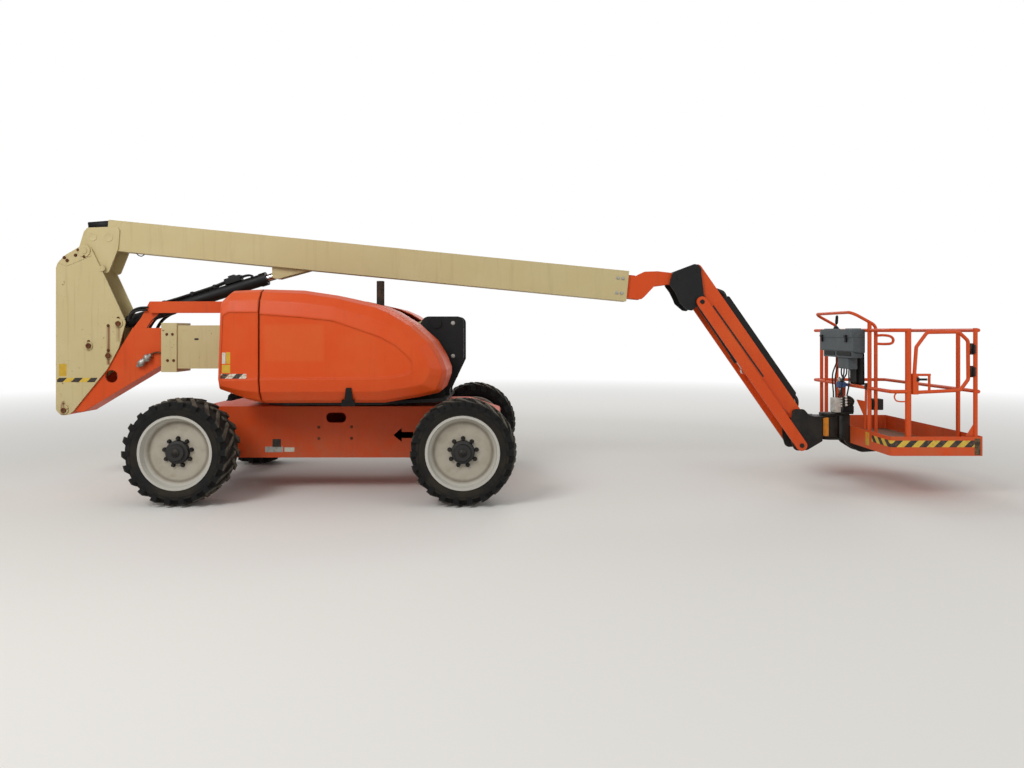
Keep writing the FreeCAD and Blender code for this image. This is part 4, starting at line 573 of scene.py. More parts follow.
def lathe(profile, base, axis, sides=24):
    """Surface of revolution: base + height times the axis + radius round it, for (radius, height) rows."""
    axis = np.asarray(axis, float) / np.linalg.norm(axis)
    first = np.cross(axis, (0, 0, 1) if abs(axis[2]) < 0.9 else (1, 0, 0))
    first /= np.linalg.norm(first)
    second = np.cross(axis, first)
    profile = np.asarray(profile, float)
    turn = np.linspace(0, 2 * np.pi, sides, endpoint=False)
    ring = np.cos(turn)[:, None] * first + np.sin(turn)[:, None] * second
    radius, height = profile[:, 0, None, None], profile[:, 1, None, None]
    points = np.asarray(base, float) + height * axis + radius * ring[None]
    return points.reshape(-1, 3), lattice(len(profile), sides) + end_faces(len(profile), sides)


print("points of a short tube:", len(tube([(0, 0, 0), (0, 0, 1)], 0.1)[0]))

# %% [markdown]
# A rounded box is a sphere whose sines and cosines are raised to a small power, which pushes it out into
# its corners. A plate is an outline with its corners cut by arcs. A bolt head is a six-sided turned shape
# on a washer.

# %% Boxes, plates and bolt heads


def raised(wave, power):
    """A sine or cosine raised to a power, with its sign kept."""
    return np.sign(wave) * np.abs(wave) ** power


def soft_box(low, high, power=0.18, rows=14, sides=28):
    """Rounded box between two corners: a sphere's cosines and sines, each raised to a power, made to fit."""
    low, high = np.minimum(low, high), np.maximum(low, high)
    v = np.linspace(-np.pi / 2 + 0.02, np.pi / 2 - 0.02, rows)[:, None]
    u = (np.arange(sides) + 0.5)[None] * 2 * np.pi / sides
    flat = raised(np.cos(v), power)
    height = raised(np.sin(v), power) + 0 * u
    shape = np.stack([flat * raised(np.cos(u), power), flat * raised(np.sin(u), power), height], -1)
    shape /= np.abs(shape).max(axis=(0, 1))
    points = ((low + high) / 2 + shape * (high - low) / 2).reshape(-1, 3)
    return points, lattice(rows, sides) + end_faces(rows, sides)


def boxes(rows, power=0.14, rounds=10, sides=24):
    """Several rounded boxes as one surface, from rows of two corners."""
    return merged(*[soft_box(low, high, power, rounds, sides) for low, high in rows])


def plate(corners, lift, thickness, radius=0.004):
    """Flat plate: an outline with its corners cut by arcs, carried up its thickness, its top drawn in."""
    corners = np.asarray(corners, float)
    normal = np.cross(corners[1] - corners[0], corners[2] - corners[1])
    normal /= np.linalg.norm(normal)
    share = np.linspace(0, 1, 4)[:, None]
    arcs = []
    for i, here in enumerate(corners):
        back, on = corners[i - 1] - here, corners[(i + 1) % len(corners)] - here
        back, on = back / np.linalg.norm(back), on / np.linalg.norm(on)
        arcs.append(here + radius * (back * (1 - share) ** 2 + on * share ** 2))
    outline = np.vstack(arcs)
    middle = outline.mean(axis=0)
    inner = middle + (outline - middle) * 0.985
    shoulder = outline + normal * (lift + thickness * 0.6)
    rows = [outline + normal * lift, shoulder, inner + normal * (lift + thickness)]
    return np.vstack(rows), lattice(3, len(outline)) + end_faces(3, len(outline))


def hexagons(places, axis, across, height):
    """Bolt heads: six-sided prisms with a drawn-in top and a washer under them, at each of the places."""
    corner = across / 2 / math.cos(math.pi / 6)
    washer = [(corner * 1.25, 0), (corner * 1.25, height * 0.18)]
    head = [(corner, height * 0.18), (corner, height * 0.85), (corner * 0.86, height)]
    heads = []
    for place in places:
        heads += [lathe(washer, place, axis, 16), lathe(head, place, axis, 6)]
    return merged(*heads)


def on_plane(pixels, y):
    """Places on one plane of constant y, from the pixels that show them."""
    return [spot(column, row, y) for column, row in pixels]


print("helpers ready")

# %% [markdown]
# ## Tyre sidewalls, nuts and caps
# The CAD tyre has its true lugs and a plain carcass. A real sidewall has a raised rim guard, a few thin
# rings from the mould and a bead roll against the rim. Those are one profile turned about the axle, so the
# sidewall piece is a lathe surface that lies a millimetre or two outside the carcass. The nuts are hexagons
# over the plain studs, and a small plug closes the oil filler of each hub.

# %% Sidewalls, nuts and caps
WHEELS = ("steer_near", "steer_far", "drive_near", "drive_far")
TYRE_OUTER_Y = 1.245
DISC_FACE_Y = 1.150
HUB_FACE_Y = 1.216
SIDEWALL_RADII = (0.3245, 0.405)
NUT_CIRCLE = 0.120
NUT_COUNT = 9
# distance across the flats and height
NUT_SIZE = (0.0275, 0.027)
HUB_PLUG = [(0.036, -0.002), (0.036, 0.006), (0.030, 0.010), (0.016, 0.011), (0.015, 0.018), (0.008, 0.0185)]
# share of the sidewall's height, width of the ring in that share, height of the ring in metres
MOULD_RINGS = (
    (0.05, 0.05, 0.004),
    (0.38, 0.018, 0.0012),
    (0.72, 0.012, 0.001),
    (0.80, 0.012, 0.001),
    (0.93, 0.03, 0.0012),
)


def sidewall(axle, side):
    """Ring whose height off the carcass is a sum of narrow bumps, closed back on itself inside the rubber."""
    radius = np.linspace(*SIDEWALL_RADII, 42)
    share = (radius - radius[0]) / (radius[-1] - radius[0])
    height = TYRE_OUTER_Y - 0.0165 + 0.0135 * np.sin(np.pi * (share * 0.62 + 0.02))
    for place, width, rise in MOULD_RINGS:
        height = height + rise * np.exp(-((share - place) / width) ** 2)
    height = np.minimum(height, TYRE_OUTER_Y - 0.0005)
    back = np.full(len(radius), TYRE_OUTER_Y - 0.03)
    flat = np.concatenate([radius, radius[::-1]])[:, None]
    out = side * np.concatenate([height, back])[:, None]
    turn = np.linspace(0, 2 * np.pi, 96, endpoint=False)
    points = np.stack([axle[0] + flat * np.sin(turn), out + 0 * turn, axle[2] + flat * np.cos(turn)], -1)
    closed = np.concatenate([points, points[:1]])
    return closed.reshape(-1, 3), lattice(len(closed), len(turn), flip=side > 0)


def wheel_trim(wheel):
    """Sidewall, nine nuts and a hub plug of one wheel."""
    side = -1 if wheel.endswith("near") else 1
    axle = centre("rim_" + wheel)
    body = "wheel_" + wheel
    piece("sidewall_" + wheel, sidewall(axle, side), tyre_rubber, body)
    turn = np.arange(NUT_COUNT) * 2 * np.pi / NUT_COUNT
    out = np.full(NUT_COUNT, side * DISC_FACE_Y)
    nuts = np.column_stack([axle[0] + NUT_CIRCLE * np.sin(turn), out, axle[2] + NUT_CIRCLE * np.cos(turn)])
    nuts = hexagons(nuts, (0, side, 0), *NUT_SIZE)
    flat_piece("wheel_nuts_" + wheel, nuts, oily_black, body)
    plug = lathe(HUB_PLUG, (axle[0], side * HUB_FACE_Y, axle[2]), (0, side, 0), 32)
    piece("hub_plug_" + wheel, plug, oily_black, body)


for wheel in WHEELS:
    wheel_trim(wheel)
print("trim on", len(WHEELS), "wheels")

# %% [markdown]
# ## Stripes, plates and labels
# Labels are vinyl a fraction of a millimetre thick, and plates are thin sheet. They stay blank here. Each
# is a plate surface that lies on the panel that carries it, with its corners found from the camera's own
# geometry.

# %% Labels and tapes
CAP_FACE = -1.155
UPRIGHT_FACE = -0.145
CHASSIS_FACE = -0.56
VINYL = 0.0008
# name: pixel columns, pixel rows, plane, finish, body, slot
FLAT_LABELS = {
    "upright_label": ((58.9, 66.6), (363.9, 376.2), UPRIGHT_FACE, label_yellow, "upright", "cream_paint"),
    "cap_grey_label": ((221.9, 225.5), (352.6, 363.8), CAP_FACE, label_white, "turntable", "cast_weight"),
    "cap_tall_label": ((226.1, 230.2), (352.2, 363.8), CAP_FACE, label_yellow, "turntable", "cast_weight"),
    "cap_low_label": ((221.9, 230.2), (364.8, 373.0), CAP_FACE, label_yellow, "turntable", "cast_weight"),
    "chassis_plate": ((272.5, 281.0), (439.0, 447.0), CHASSIS_FACE, dark_vinyl, "chassis", "orange_paint"),
    "chassis_long_plate": ((265.0, 283.0), (446.6, 452.2), CHASSIS_FACE, zinc, "chassis", "orange_paint"),
    "chassis_label": ((284.5, 294.4), (447.4, 451.8), CHASSIS_FACE, label_white, "chassis", "orange_paint"),
}
# pixels of the corners
ARROW = [
    (394.3, 435.2), (401.0, 429.2), (401.0, 432.6), (409.8, 432.6),
    (409.8, 437.4), (401.0, 437.4), (401.0, 440.6),
]
ARROW_EDGE = [
    (393.4, 435.2), (401.7, 427.9), (401.7, 431.9), (413.4, 431.9),
    (413.4, 438.1), (401.7, 438.1), (401.7, 441.9),
]
UPRIGHT_BAND = [(57.0, 382.2), (94.6, 382.2), (97.6, 377.8), (57.0, 377.8)]
CAP_BAND = [(220.5, 378.7), (246.5, 378.7), (246.5, 373.9), (220.5, 373.9)]

for name, (columns, rows, y, finish, body, slot_name) in FLAT_LABELS.items():
    left, right = columns
    top, foot = rows
    corners = on_plane([(left, foot), (right, foot), (right, top), (left, top)], y)
    flat_piece(name, plate(corners, 0, VINYL), finish, body)
arrow_edge = plate(on_plane(ARROW_EDGE, CHASSIS_FACE), 0, VINYL * 0.6, 0.001)
flat_piece("chassis_arrow_edge", arrow_edge, label_white, "chassis")
arrow = plate(on_plane(ARROW, CHASSIS_FACE), VINYL * 0.5, VINYL, 0.001)
flat_piece("chassis_arrow", arrow, dark_vinyl, "chassis")
upright_band = plate(on_plane(UPRIGHT_BAND, UPRIGHT_FACE), 0, VINYL, 0.002)
flat_piece("upright_hazard_band", upright_band, long_hazard, "upright")
cap_band = plate(on_plane(CAP_BAND, CAP_FACE), 0, VINYL, 0.002)
flat_piece("cap_hazard_band", cap_band, worn_hazard, "turntable")
print("flat labels", len(FLAT_LABELS))

# %% [markdown]
# The tape on the platform goes round the corner of the toe board: a short stretch on the side that faces
# the jib and a long one on the near side. Its path on the ground plan is the board's own, and the tape is
# that path pushed out by its thickness.

# %% Tape round the toe board
deck_low, deck_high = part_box("platform_deck")
TAPE_HEIGHTS = (0.476, 0.536)
TAPE_START = 0.36
DECK_CORNER = 0.030
SIGN_Y = (-0.50, -0.425)
SIGN_Z = (0.43, 0.553)
SYMBOL_Z = 0.515
PATCH_Z = (0.405, 0.555)
PATCH_INSET = (0.085, 0.032)


def tape_round(path, heights, out):
    """Upright band along a path on the ground plan: the path and the path pushed outward, at two heights."""
    path = np.asarray(path, float)
    tangent = np.gradient(path, axis=0)
    tangent /= np.linalg.norm(tangent, axis=1)[:, None]
    outward = np.stack([tangent[:, 1], -tangent[:, 0]], -1)
    low, high = heights
    corners = ((0, low), (out, low), (out, high), (0, high))
    rows = [np.column_stack([path + outward * reach, np.full(len(path), z)]) for reach, z in corners]
    points = np.stack(rows, 1).reshape(-1, 3)
    last = (len(path) - 1) * 4
    ends = [[0, 1, 2, 3], [last + 3, last + 2, last + 1, last]]
    return points, lattice(len(path), 4, flip=True) + ends


left_x, right_x, near_y = deck_low[0], deck_high[0], deck_low[1]
quarter = np.linspace(0, np.pi / 2, 7)
corner_x = left_x + DECK_CORNER * (1 - np.cos(quarter))
corner_y = near_y + DECK_CORNER * (1 - np.sin(quarter))
bend = np.stack([corner_x, corner_y], -1)
tape_path = np.vstack([[left_x, near_y + TAPE_START], bend, [right_x - DECK_CORNER - 0.005, near_y]])
flat_piece("toe_hazard_band", tape_round(tape_path, TAPE_HEIGHTS, VINYL), hazard, "platform")
sign = [(left_x, y, z) for y, z in zip(SIGN_Y[::-1] + SIGN_Y, np.repeat(SIGN_Z, 2))]
flat_piece("toe_sign", plate(sign, 0, VINYL), label_yellow, "platform")
round_mark = [(0.026, 0), (0.026, 0.0004), (0.0255, 0.0005)]
mark = lathe(round_mark, (left_x - VINYL, sum(SIGN_Y) / 2, SYMBOL_Z), (-1, 0, 0), 28)
flat_piece("toe_sign_blank_symbol", mark, label_amber, "platform")
patch_x = (right_x - PATCH_INSET[0], right_x - PATCH_INSET[1])
patch = [(x, near_y, z) for x, z in zip(patch_x + patch_x[::-1], np.repeat(PATCH_Z, 2))]
flat_piece("toe_dark_patch", plate(patch, VINYL, VINYL * 0.6), scraped_vinyl, "platform")
print("tape length", round(float(np.linalg.norm(np.diff(tape_path, axis=0), axis=1).sum()), 3), "m")

# %% [markdown]
# ## Upright and boom root
# The upright is two plates with pins through them. A doubler plate with a row of rusted bolts carries the
# boom's pivot. The end of the boom is closed by a black plastic cap, and two plugs show where the root
# plate was jigged. Water runs down from each pin and leaves a rust line, which is in the paint and not in
# the shape.

# %% Upright and boom root pieces
# pixels of corners and centres
DOUBLER = [(58.2, 262.6), (66.4, 266.2), (91.6, 255.9), (86.4, 247.8), (81.6, 246.6)]
DOUBLER_BOLTS = [(67.2, 260.5), (64.3, 257.6), (75.6, 255.2), (84.0, 251.3), (84.2, 256.4), (78.2, 249.9)]
PIN_BOLTS = [(118.2, 318.2), (108.2, 325.6), (108.3, 350.3), (88.6, 341.5), (63.4, 404.9)]
PIN_HEADS = [(118.3, 323.6), (108.2, 355.6), (88.6, 345.8), (63.7, 410.3)]
END_CAP = [(88.4, 228.4), (107.6, 227.0), (108.2, 220.6), (87.6, 222.2)]
ROOT_PLUGS = [(92.9, 236.8), (108.8, 237.3)]
PIN_HEAD_OUT = 0.011
ROOT_FACE = -0.125
BOOM_HALF = 0.113
DOUBLER_SHEET = 0.004
# distance across the flats and height of each bolt head
DOUBLER_BOLT = (0.024, 0.012)
KEEPER_BOLT = (0.022, 0.011)
# radius and height of each turned profile
HEAD_PROFILE = [
    (0.026, -0.004), (0.026, 0.012), (0.023, 0.016), (0.010, 0.0165), (0.009, 0.013), (0.004, 0.0125),
]
PLUG_PROFILE = [
    (0.043, -0.001), (0.043, 0.003), (0.040, 0.0042), (0.036, 0.003), (0.034, 0.0022), (0.004, 0.0026),
]
NEAR = (0, -1, 0)

doubler = plate(on_plane(DOUBLER, UPRIGHT_FACE), 0, DOUBLER_SHEET, 0.012)
flat_piece("upright_doubler", both_sides(doubler), cream_enamel, "upright")
bolts = hexagons(on_plane(DOUBLER_BOLTS, UPRIGHT_FACE - DOUBLER_SHEET), NEAR, *DOUBLER_BOLT)
flat_piece("doubler_bolts", both_sides(bolts), rusty_steel, "upright")
bolts = hexagons(on_plane(PIN_BOLTS, UPRIGHT_FACE), NEAR, *KEEPER_BOLT)
flat_piece("pin_keeper_bolts", both_sides(bolts), rusty_steel, "upright")
head_places = on_plane(PIN_HEADS, UPRIGHT_FACE - PIN_HEAD_OUT)
heads = merged(*[lathe(HEAD_PROFILE, place, NEAR, 20) for place in head_places])
piece("upright_pin_heads", both_sides(heads), rusty_steel, "upright")
end_cap = plate(on_plane(END_CAP, -BOOM_HALF), -2 * BOOM_HALF, 2 * BOOM_HALF + 0.002, 0.008)
piece("boom_end_cap", end_cap, cover_plastic, "main_boom")
plugs = merged(*[lathe(PLUG_PROFILE, place, NEAR, 36) for place in on_plane(ROOT_PLUGS, ROOT_FACE)])
piece("root_plate_plugs", both_sides(plugs), boom_enamel, "main_boom")
print("bolts on the upright", 2 * (len(DOUBLER_BOLTS) + len(PIN_BOLTS)))

# %% [markdown]
# ## Tower trim
# The collar of the outer tower tube is bolted on with four bolts. Beside it a zinc-plated counterbalance
# valve sits on the inner tube, with its steel pipe run back to the collar. Hoses leave the hose arm in a
# short loop, and more of them bend down into the elbow.

# %% Tower trim
COLLAR_FACE = -0.167
TOWER_FACE = -0.153
FLY_FACE = -0.127
VALVE_OUT, PIPE_OUT = 0.034, 0.020
COLLAR_BOLT = (0.020, 0.010)
# pixels of centres and corners
COLLAR_BOLTS = [(166.7, 334.3), (172.4, 334.3), (167.5, 360.5), (173.6, 360.5)]
SLOT = [(194.4, 340.1), (198.7, 340.1), (198.7, 338.2), (194.4, 338.2)]
VALVE_ENDS = [(137.0, 366.8), (151.0, 354.6)]
PIPE = [(149.5, 355.0), (154.0, 353.0), (158.0, 352.4), (162.5, 353.2)]
# x and z in metres, and the y of each hose
HOSE_LOOP = [(-3.700, 1.640), (-3.690, 1.690), (-3.650, 1.728), (-3.590, 1.748), (-3.510, 1.752)]
LOOP_PLACES = ((-0.098, 0.0), (-0.122, 0.016), (-0.146, -0.012))
ELBOW_BEND = [(-3.335, 1.718), (-3.395, 1.694), (-3.462, 1.645), (-3.503, 1.590), (-3.528, 1.540)]
ELBOW_Y = (-0.078, -0.094, -0.110)


def valve(low_end, high_end):
    """Turned valve body between two points: a stack of drums and shoulders along its axis."""
    low_end, high_end = np.array(low_end), np.array(high_end)
    span = np.linalg.norm(high_end - low_end)
    nose = [(0.010, 0), (0.016, 0.008), (0.016, 0.035), (0.034, 0.036), (0.034, 0.085), (0.026, 0.09)]
    drum = [(0.026, 0.12), (0.038, 0.121), (0.038, span - 0.03), (0.020, span - 0.028), (0.018, span)]
    return lathe(nose + drum, low_end, high_end - low_end, 24)


bolts = hexagons(on_plane(COLLAR_BOLTS, COLLAR_FACE), NEAR, *COLLAR_BOLT)
flat_piece("collar_bolts", both_sides(bolts), rusty_steel, "tower_base")
slot_plug = plate(on_plane(SLOT, TOWER_FACE), 0, 0.001, 0.006)
flat_piece("tower_slot_plug", slot_plug, dark_vinyl, "tower_base")
valve_ends = on_plane(VALVE_ENDS, FLY_FACE - VALVE_OUT)
piece("tower_valve", valve(*valve_ends), zinc, "tower_fly")
pipe = tube(smooth_path(on_plane(PIPE, FLY_FACE - PIPE_OUT), 6), 0.009, 10)
piece("tower_valve_pipe", pipe, rusty_steel, "tower_fly")
loops = [tube(smooth_path([(x, y, z + lift) for x, z in HOSE_LOOP], 7), 0.011, 10) for y, lift in LOOP_PLACES]
piece("hose_arm_loops", merged(*loops), hose_rubber, "tower_fly")
bends = []
for y in ELBOW_Y:
    path = smooth_path([(x + 0.2 * (y + 0.1), y, z) for x, z in ELBOW_BEND], 7)
    bends.append(tube(path, 0.0125, 10))
piece("elbow_hoses", both_sides(merged(*bends)), hose_rubber, "tower_fly")
print("valve length", round(math.dist(*valve_ends), 3), "m")

# %% [markdown]
# The main lift cylinder carries its own feed hoses and a small valve block on its back. They are laid out
# along the cylinder and over it, and one function carries them to its slanted place.

# %% Hoses and valve of the main cylinder
MAIN_BASE, MAIN_EYE = np.array([-3.8005, 0.0, 1.610]), np.array([-2.2345, 0.0, 2.104])
ALONG_MAIN = (MAIN_EYE - MAIN_BASE) / np.linalg.norm(MAIN_EYE - MAIN_BASE)
OVER_MAIN = np.array([-ALONG_MAIN[2], 0.0, ALONG_MAIN[0]])
# metres along the cylinder and over its axis
FEED = [(0.30, 0.050), (0.36, 0.078), (0.62, 0.076), (0.95, 0.079), (1.08, 0.088), (1.14, 0.092)]
RETURN = [(1.26, 0.090), (1.32, 0.092), (1.37, 0.080), (1.385, 0.052)]
VALVE_BLOCK = [
    ((1.105, -0.052, 0.056), (1.275, 0.052, 0.118)),
    ((1.150, -0.030, 0.110), (1.215, 0.030, 0.138)),
]
CLIP_STARTS = (0.44, 0.74, 0.98)
FEED_Y, RETURN_Y = (-0.030, 0.0, 0.030), (-0.020, 0.020)


def on_main(surface):
    """A surface given along the main cylinder, across it and over it, carried to its place in the frame."""
    points, faces = surface
    along, across, over = points[:, :1], points[:, 1:2], points[:, 2:]
    return MAIN_BASE + along * ALONG_MAIN + across * (0, 1, 0) + over * OVER_MAIN, faces


feeds = [tube(smooth_path([(a, y, b) for a, b in FEED], 7), 0.0125, 10) for y in FEED_Y]
feeds += [tube(smooth_path([(a, y, b) for a, b in RETURN], 7), 0.010, 10) for y in RETURN_Y]
piece("main_cylinder_hoses", on_main(merged(*feeds)), hose_rubber, "main_barrel")
valve_block = boxes(VALVE_BLOCK, 0.10, 14, 28)
piece("main_cylinder_valve", on_main(valve_block), black_satin, "main_barrel")
clips = boxes([((a, -0.048, 0.052), (a + 0.026, 0.048, 0.097)) for a in CLIP_STARTS], 0.12, 10, 24)
piece("main_hose_clips", on_main(clips), black_satin, "main_barrel")
print("hoses on the main cylinder", len(feeds))

# %% [markdown]
# ## Hood latches, tail lamp and chassis bolts
# Each hood is held shut by a black lever latch under its lower edge, where the panel curves in. The latch's
# plates lean with the panel. A round lamp in a black ring sits on the tail, and pairs of bolts hold
# brackets inside the chassis.

# %% Hood latches, lamp and chassis bolts
# column, row and y of the latch's corners
LATCH_LEVER = [(344.6, 400.5, -1.092), (353.2, 400.5, -1.092), (351.6, 387.6, -1.147), (346.0, 387.6, -1.147)]
LATCH_FOOT = [(340.8, 405.6, -1.060), (355.6, 405.6, -1.060), (354.6, 399.6, -1.096), (341.8, 399.6, -1.096)]
# corners, lift and thickness of each part
LATCH_PARTS = {"latch_lever": (LATCH_LEVER, 0.002, 0.016), "latch_foot": (LATCH_FOOT, 0.001, 0.012)}
LAMP = (-2.432, -0.98, 1.644)
LAMP_PROFILE = [
    (0.040, -0.010), (0.040, 0.008), (0.034, 0.014), (0.030, 0.010), (0.022, 0.013), (0.004, 0.016),
]
CHASSIS_BOLTS = [(318.8, 427.2), (318.8, 438.4), (351.5, 426.9), (351.5, 438.3)]
UPSTAND_BOLTS = [(453, 323), (453, 356)]
UPSTAND_FACE = -0.192
CHASSIS_BOLT = (0.020, 0.010)
UPSTAND_BOLT = (0.028, 0.014)

for name, (rows, lift, thick) in LATCH_PARTS.items():
    points, faces = plate([spot(*row) for row in rows], lift, thick, 0.008)
    mirrored = (points * (1, -1, 1), [face[::-1] for face in faces])
    flat_piece(name + "_near", (points, faces), black_satin, "hood_near")
    flat_piece(name + "_far", mirrored, black_satin, "hood_far")
piece("tail_lamp_ring", lathe(LAMP_PROFILE, LAMP, (-1, 0, 0), 32), cover_plastic, "turntable")
bolts = hexagons(on_plane(CHASSIS_BOLTS, CHASSIS_FACE), NEAR, *CHASSIS_BOLT)
flat_piece("chassis_bolts", both_sides(bolts), rusty_steel, "chassis")
bolts = hexagons(on_plane(UPSTAND_BOLTS, UPSTAND_FACE), NEAR, *UPSTAND_BOLT)
flat_piece("upstand_bolts", both_sides(bolts), zinc, "turntable")
print("latches, lamp and bolts done")

# %% [markdown]
# ## Boom and jib trim
# Four bolts at the boom's mouth press its wear pads against the inner tube. A wire hook hangs under the
# root. On the jib, a thin dark strip beside the link is painted shadow of the gap between arm and link,
# and hoses run under the black channel and come out of both its ends in short bends.

# %% Boom and jib trim
BOOM_FACE = -0.113
ARM_FACE = -0.1005
HOOK_PLANE = -0.06
MOUTH_BOLT = (0.024, 0.012)
# pixels of centres and corners
MOUTH_BOLTS = [(618.0, 278.0), (623.0, 278.6), (616.7, 292.8), (621.7, 293.1)]
HOOK = [(136.6, 253.4), (138.6, 255.4), (141.4, 256.2), (143.6, 255.2), (144.4, 254.4)]
# corners of the painted shadow in the gap between the jib arm and its link
ARM_GAP_SHADOW = [(762.8, 377.2), (764.1, 376.2), (713.7, 305.2), (712.4, 306.2)]
ARM_TOP = np.array([2.0385, 0.0, 2.142])
ALONG_ARM = np.array([0.5693, 0.0, -0.8221])
ACROSS_ARM = np.array([0.8221, 0.0, 0.5693])
# metres along the jib arm and across it
UPPER_BEND = [(0.270, 0.056), (0.300, 0.078), (0.335, 0.098), (0.375, 0.096), (0.430, 0.080)]
LOWER_BEND = [(1.560, 0.080), (1.620, 0.096), (1.665, 0.094), (1.700, 0.076), (1.722, 0.056)]
JIB_HOSE_Y = (-0.045, -0.015, 0.015, 0.045)


def on_arm(along, across, y):
    """Frame point from the jib arm's own coordinates: its top pin, so much along it and so much across."""
    return ARM_TOP + along * ALONG_ARM + across * ACROSS_ARM + np.array([0.0, y, 0.0])


bolts = hexagons(on_plane(MOUTH_BOLTS, BOOM_FACE), NEAR, *MOUTH_BOLT)
flat_piece("boom_mouth_bolts", both_sides(bolts), zinc, "main_boom")
hook = tube(smooth_path(on_plane(HOOK, HOOK_PLANE), 6), 0.005, 8)
piece("boom_wire_hook", hook, hose_rubber, "main_boom")
# a dark sheet on the arm's face beside the link: painted shadow of the gap between arm and link
arm_gap_shadow = plate(on_plane(ARM_GAP_SHADOW, ARM_FACE), 0, 0.0006, 0.003)
flat_piece("jib_arm_slot", arm_gap_shadow, dark_vinyl, "jib_arm")
hoses = []
for y in JIB_HOSE_Y:
    lift = 0.012 * math.cos(y * 60)
    for bend_rows in (UPPER_BEND, LOWER_BEND):
        hoses.append(tube(smooth_path([on_arm(a, b + lift, y) for a, b in bend_rows], 7), 0.012, 10))
piece("jib_hose_bends", merged(*hoses), hose_rubber, "jib_arm")
print("jib hoses", len(hoses))

# %% [markdown]
# ## Control console
# The platform's control box is slate-grey sheet steel: a hinged lid with raised ribs, two black toggle
# latches, a skirt with two black slots and a small box under it. A lever with a black grip stands on top.
# The CAD gives the box its size, and these pieces lie on its faces.

# %% Control console
console_low, console_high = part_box("control_console")
FRONT_X, BACK_X = console_low[0], console_high[0]
LID_LOW, LID_HIGH = 1.462, 1.547
TOGGLE_Y = (0.3375, -0.249)
SLOTS_Y = ((0.035, 0.290), (-0.340, -0.010))
RIB_Y = (-0.34, -0.30, -0.26, -0.22, 0.14, 0.18, 0.22, 0.26, 0.30)
LOWER_PANEL = [((3.498, -0.236, 1.156), (3.520, 0.012, 1.262))]
LEVER_PATH = [(3.545, 0.165, 1.535), (3.545, 0.165, 1.585), (3.548, 0.160, 1.625)]
GRIP_FOOT, GRIP_LEAN = (3.547, 0.161, 1.600), (0.04, -0.06, 1.0)
LEVER_FOOT = (3.545, 0.165, 1.540)
GRIP = [
    (0.006, 0), (0.013, 0.006), (0.016, 0.03), (0.014, 0.06),
    (0.015, 0.075), (0.010, 0.09), (0.003, 0.094),
]
LEVER_BOOT = [
    (0.034, 0), (0.030, 0.008), (0.033, 0.012), (0.024, 0.022),
    (0.026, 0.026), (0.015, 0.038), (0.007, 0.044),
]

lid = [((FRONT_X - 0.006, -0.404, LID_LOW), (BACK_X - 0.002, 0.404, LID_HIGH))]
piece("console_lid", boxes(lid, 0.10, 16, 32), console_paint, "platform")
rib_low, rib_high = LID_HIGH - 0.006, LID_HIGH + 0.008
ribs = [((FRONT_X + 0.004, y - 0.008, rib_low), (BACK_X - 0.012, y + 0.008, rib_high)) for y in RIB_Y]
piece("console_lid_ribs", boxes(ribs), console_paint, "platform")
toggles = []
for y in TOGGLE_Y:
    toggles.append(((FRONT_X - 0.018, y - 0.017, 1.418), (FRONT_X + 0.002, y + 0.017, 1.486)))
    toggles.append(((FRONT_X - 0.024, y - 0.026, 1.470), (FRONT_X + 0.002, y + 0.026, 1.490)))
piece("console_latches", boxes(toggles), black_satin, "platform")
skirt = [((FRONT_X + 0.004, -0.375, 1.262), (BACK_X - 0.006, 0.330, 1.340))]
piece("console_skirt", boxes(skirt, 0.09, 14, 32), console_paint, "platform")
slots = [((FRONT_X - 0.001, low, 1.281), (FRONT_X + 0.030, high, 1.326)) for low, high in SLOTS_Y]
piece("console_slots", boxes(slots, 0.08), cover_plastic, "platform")
piece("console_lower_panel", boxes(LOWER_PANEL, 0.08), console_paint, "platform")
lever = tube(smooth_path(LEVER_PATH, 6), 0.006, 10)
grip = lathe(GRIP, GRIP_FOOT, GRIP_LEAN, 18)
lever_boot = lathe(LEVER_BOOT, LEVER_FOOT, (0, 0, 1), 22)
piece("console_lever", merged(lever, grip, lever_boot), cover_plastic, "platform")

# %% [markdown]
# ## Ribbed boot, boxes and receptacles
# Under the console hangs a black plastic boot with upright folds, which keeps rain off the valves. Its wall
# is a rounded rectangle whose radius swings in and out as a cosine of the angle. A receptacle box sits on
# the corner post, and a small clamp holds the middle rail. Sleeves cover the gate's hinges, and the gate
# has a black handle at its latch.

# %% Ribbed boot and boxes
BOOT_BOX = ((3.628, -0.150, 0.985), (3.705, 0.040, 1.318))
RECEPTACLE = [
    ((3.630, -0.455, 0.765), (3.742, -0.350, 0.872)),
    ((3.640, -0.462, 0.795), (3.700, -0.448, 0.850)),
]
RAIL_CLAMP = [((3.584, -0.440, 0.962), (3.628, -0.392, 1.024))]
GATE_HANDLE = [
    ((3.832, -0.916, 1.079), (3.918, -0.902, 1.099)),
    ((3.822, -0.914, 1.070), (3.846, -0.904, 1.108)),
]
HINGE_X, HINGE_Y = 4.3275, -0.892
HINGE_Z = (1.160, 1.365)
SLEEVE = [(0.0135, -0.052), (0.0165, -0.048), (0.0165, 0.048), (0.0135, 0.052)]


def ribbed_boot(low, high, folds, depth, power=0.2):
    """Rounded rectangle, its radius swung by a cosine, carried up and drawn in at its top and foot."""
    low, high = np.array(low, float), np.array(high, float)
    middle, half = (low + high) / 2, (high - low) / 2
    turn = np.linspace(0, 2 * np.pi, folds * 6, endpoint=False)
    swing = 1 - depth * (0.5 + 0.5 * np.cos(folds * turn))
    height = np.linspace(0, 1, 12)[:, None]
    waist = (1 - 0.06 * (2 * height - 1) ** 8) * (1 - 0.04 * height)
    x = middle[0] + half[0] * raised(np.cos(turn), power) * swing * waist
    y = middle[1] + half[1] * raised(np.sin(turn), power) * swing * waist
    z = low[2] + (high[2] - low[2]) * height + 0 * turn
    points = np.stack([x, y, z], -1).reshape(-1, 3)
    return points, lattice(12, len(turn)) + end_faces(12, len(turn))


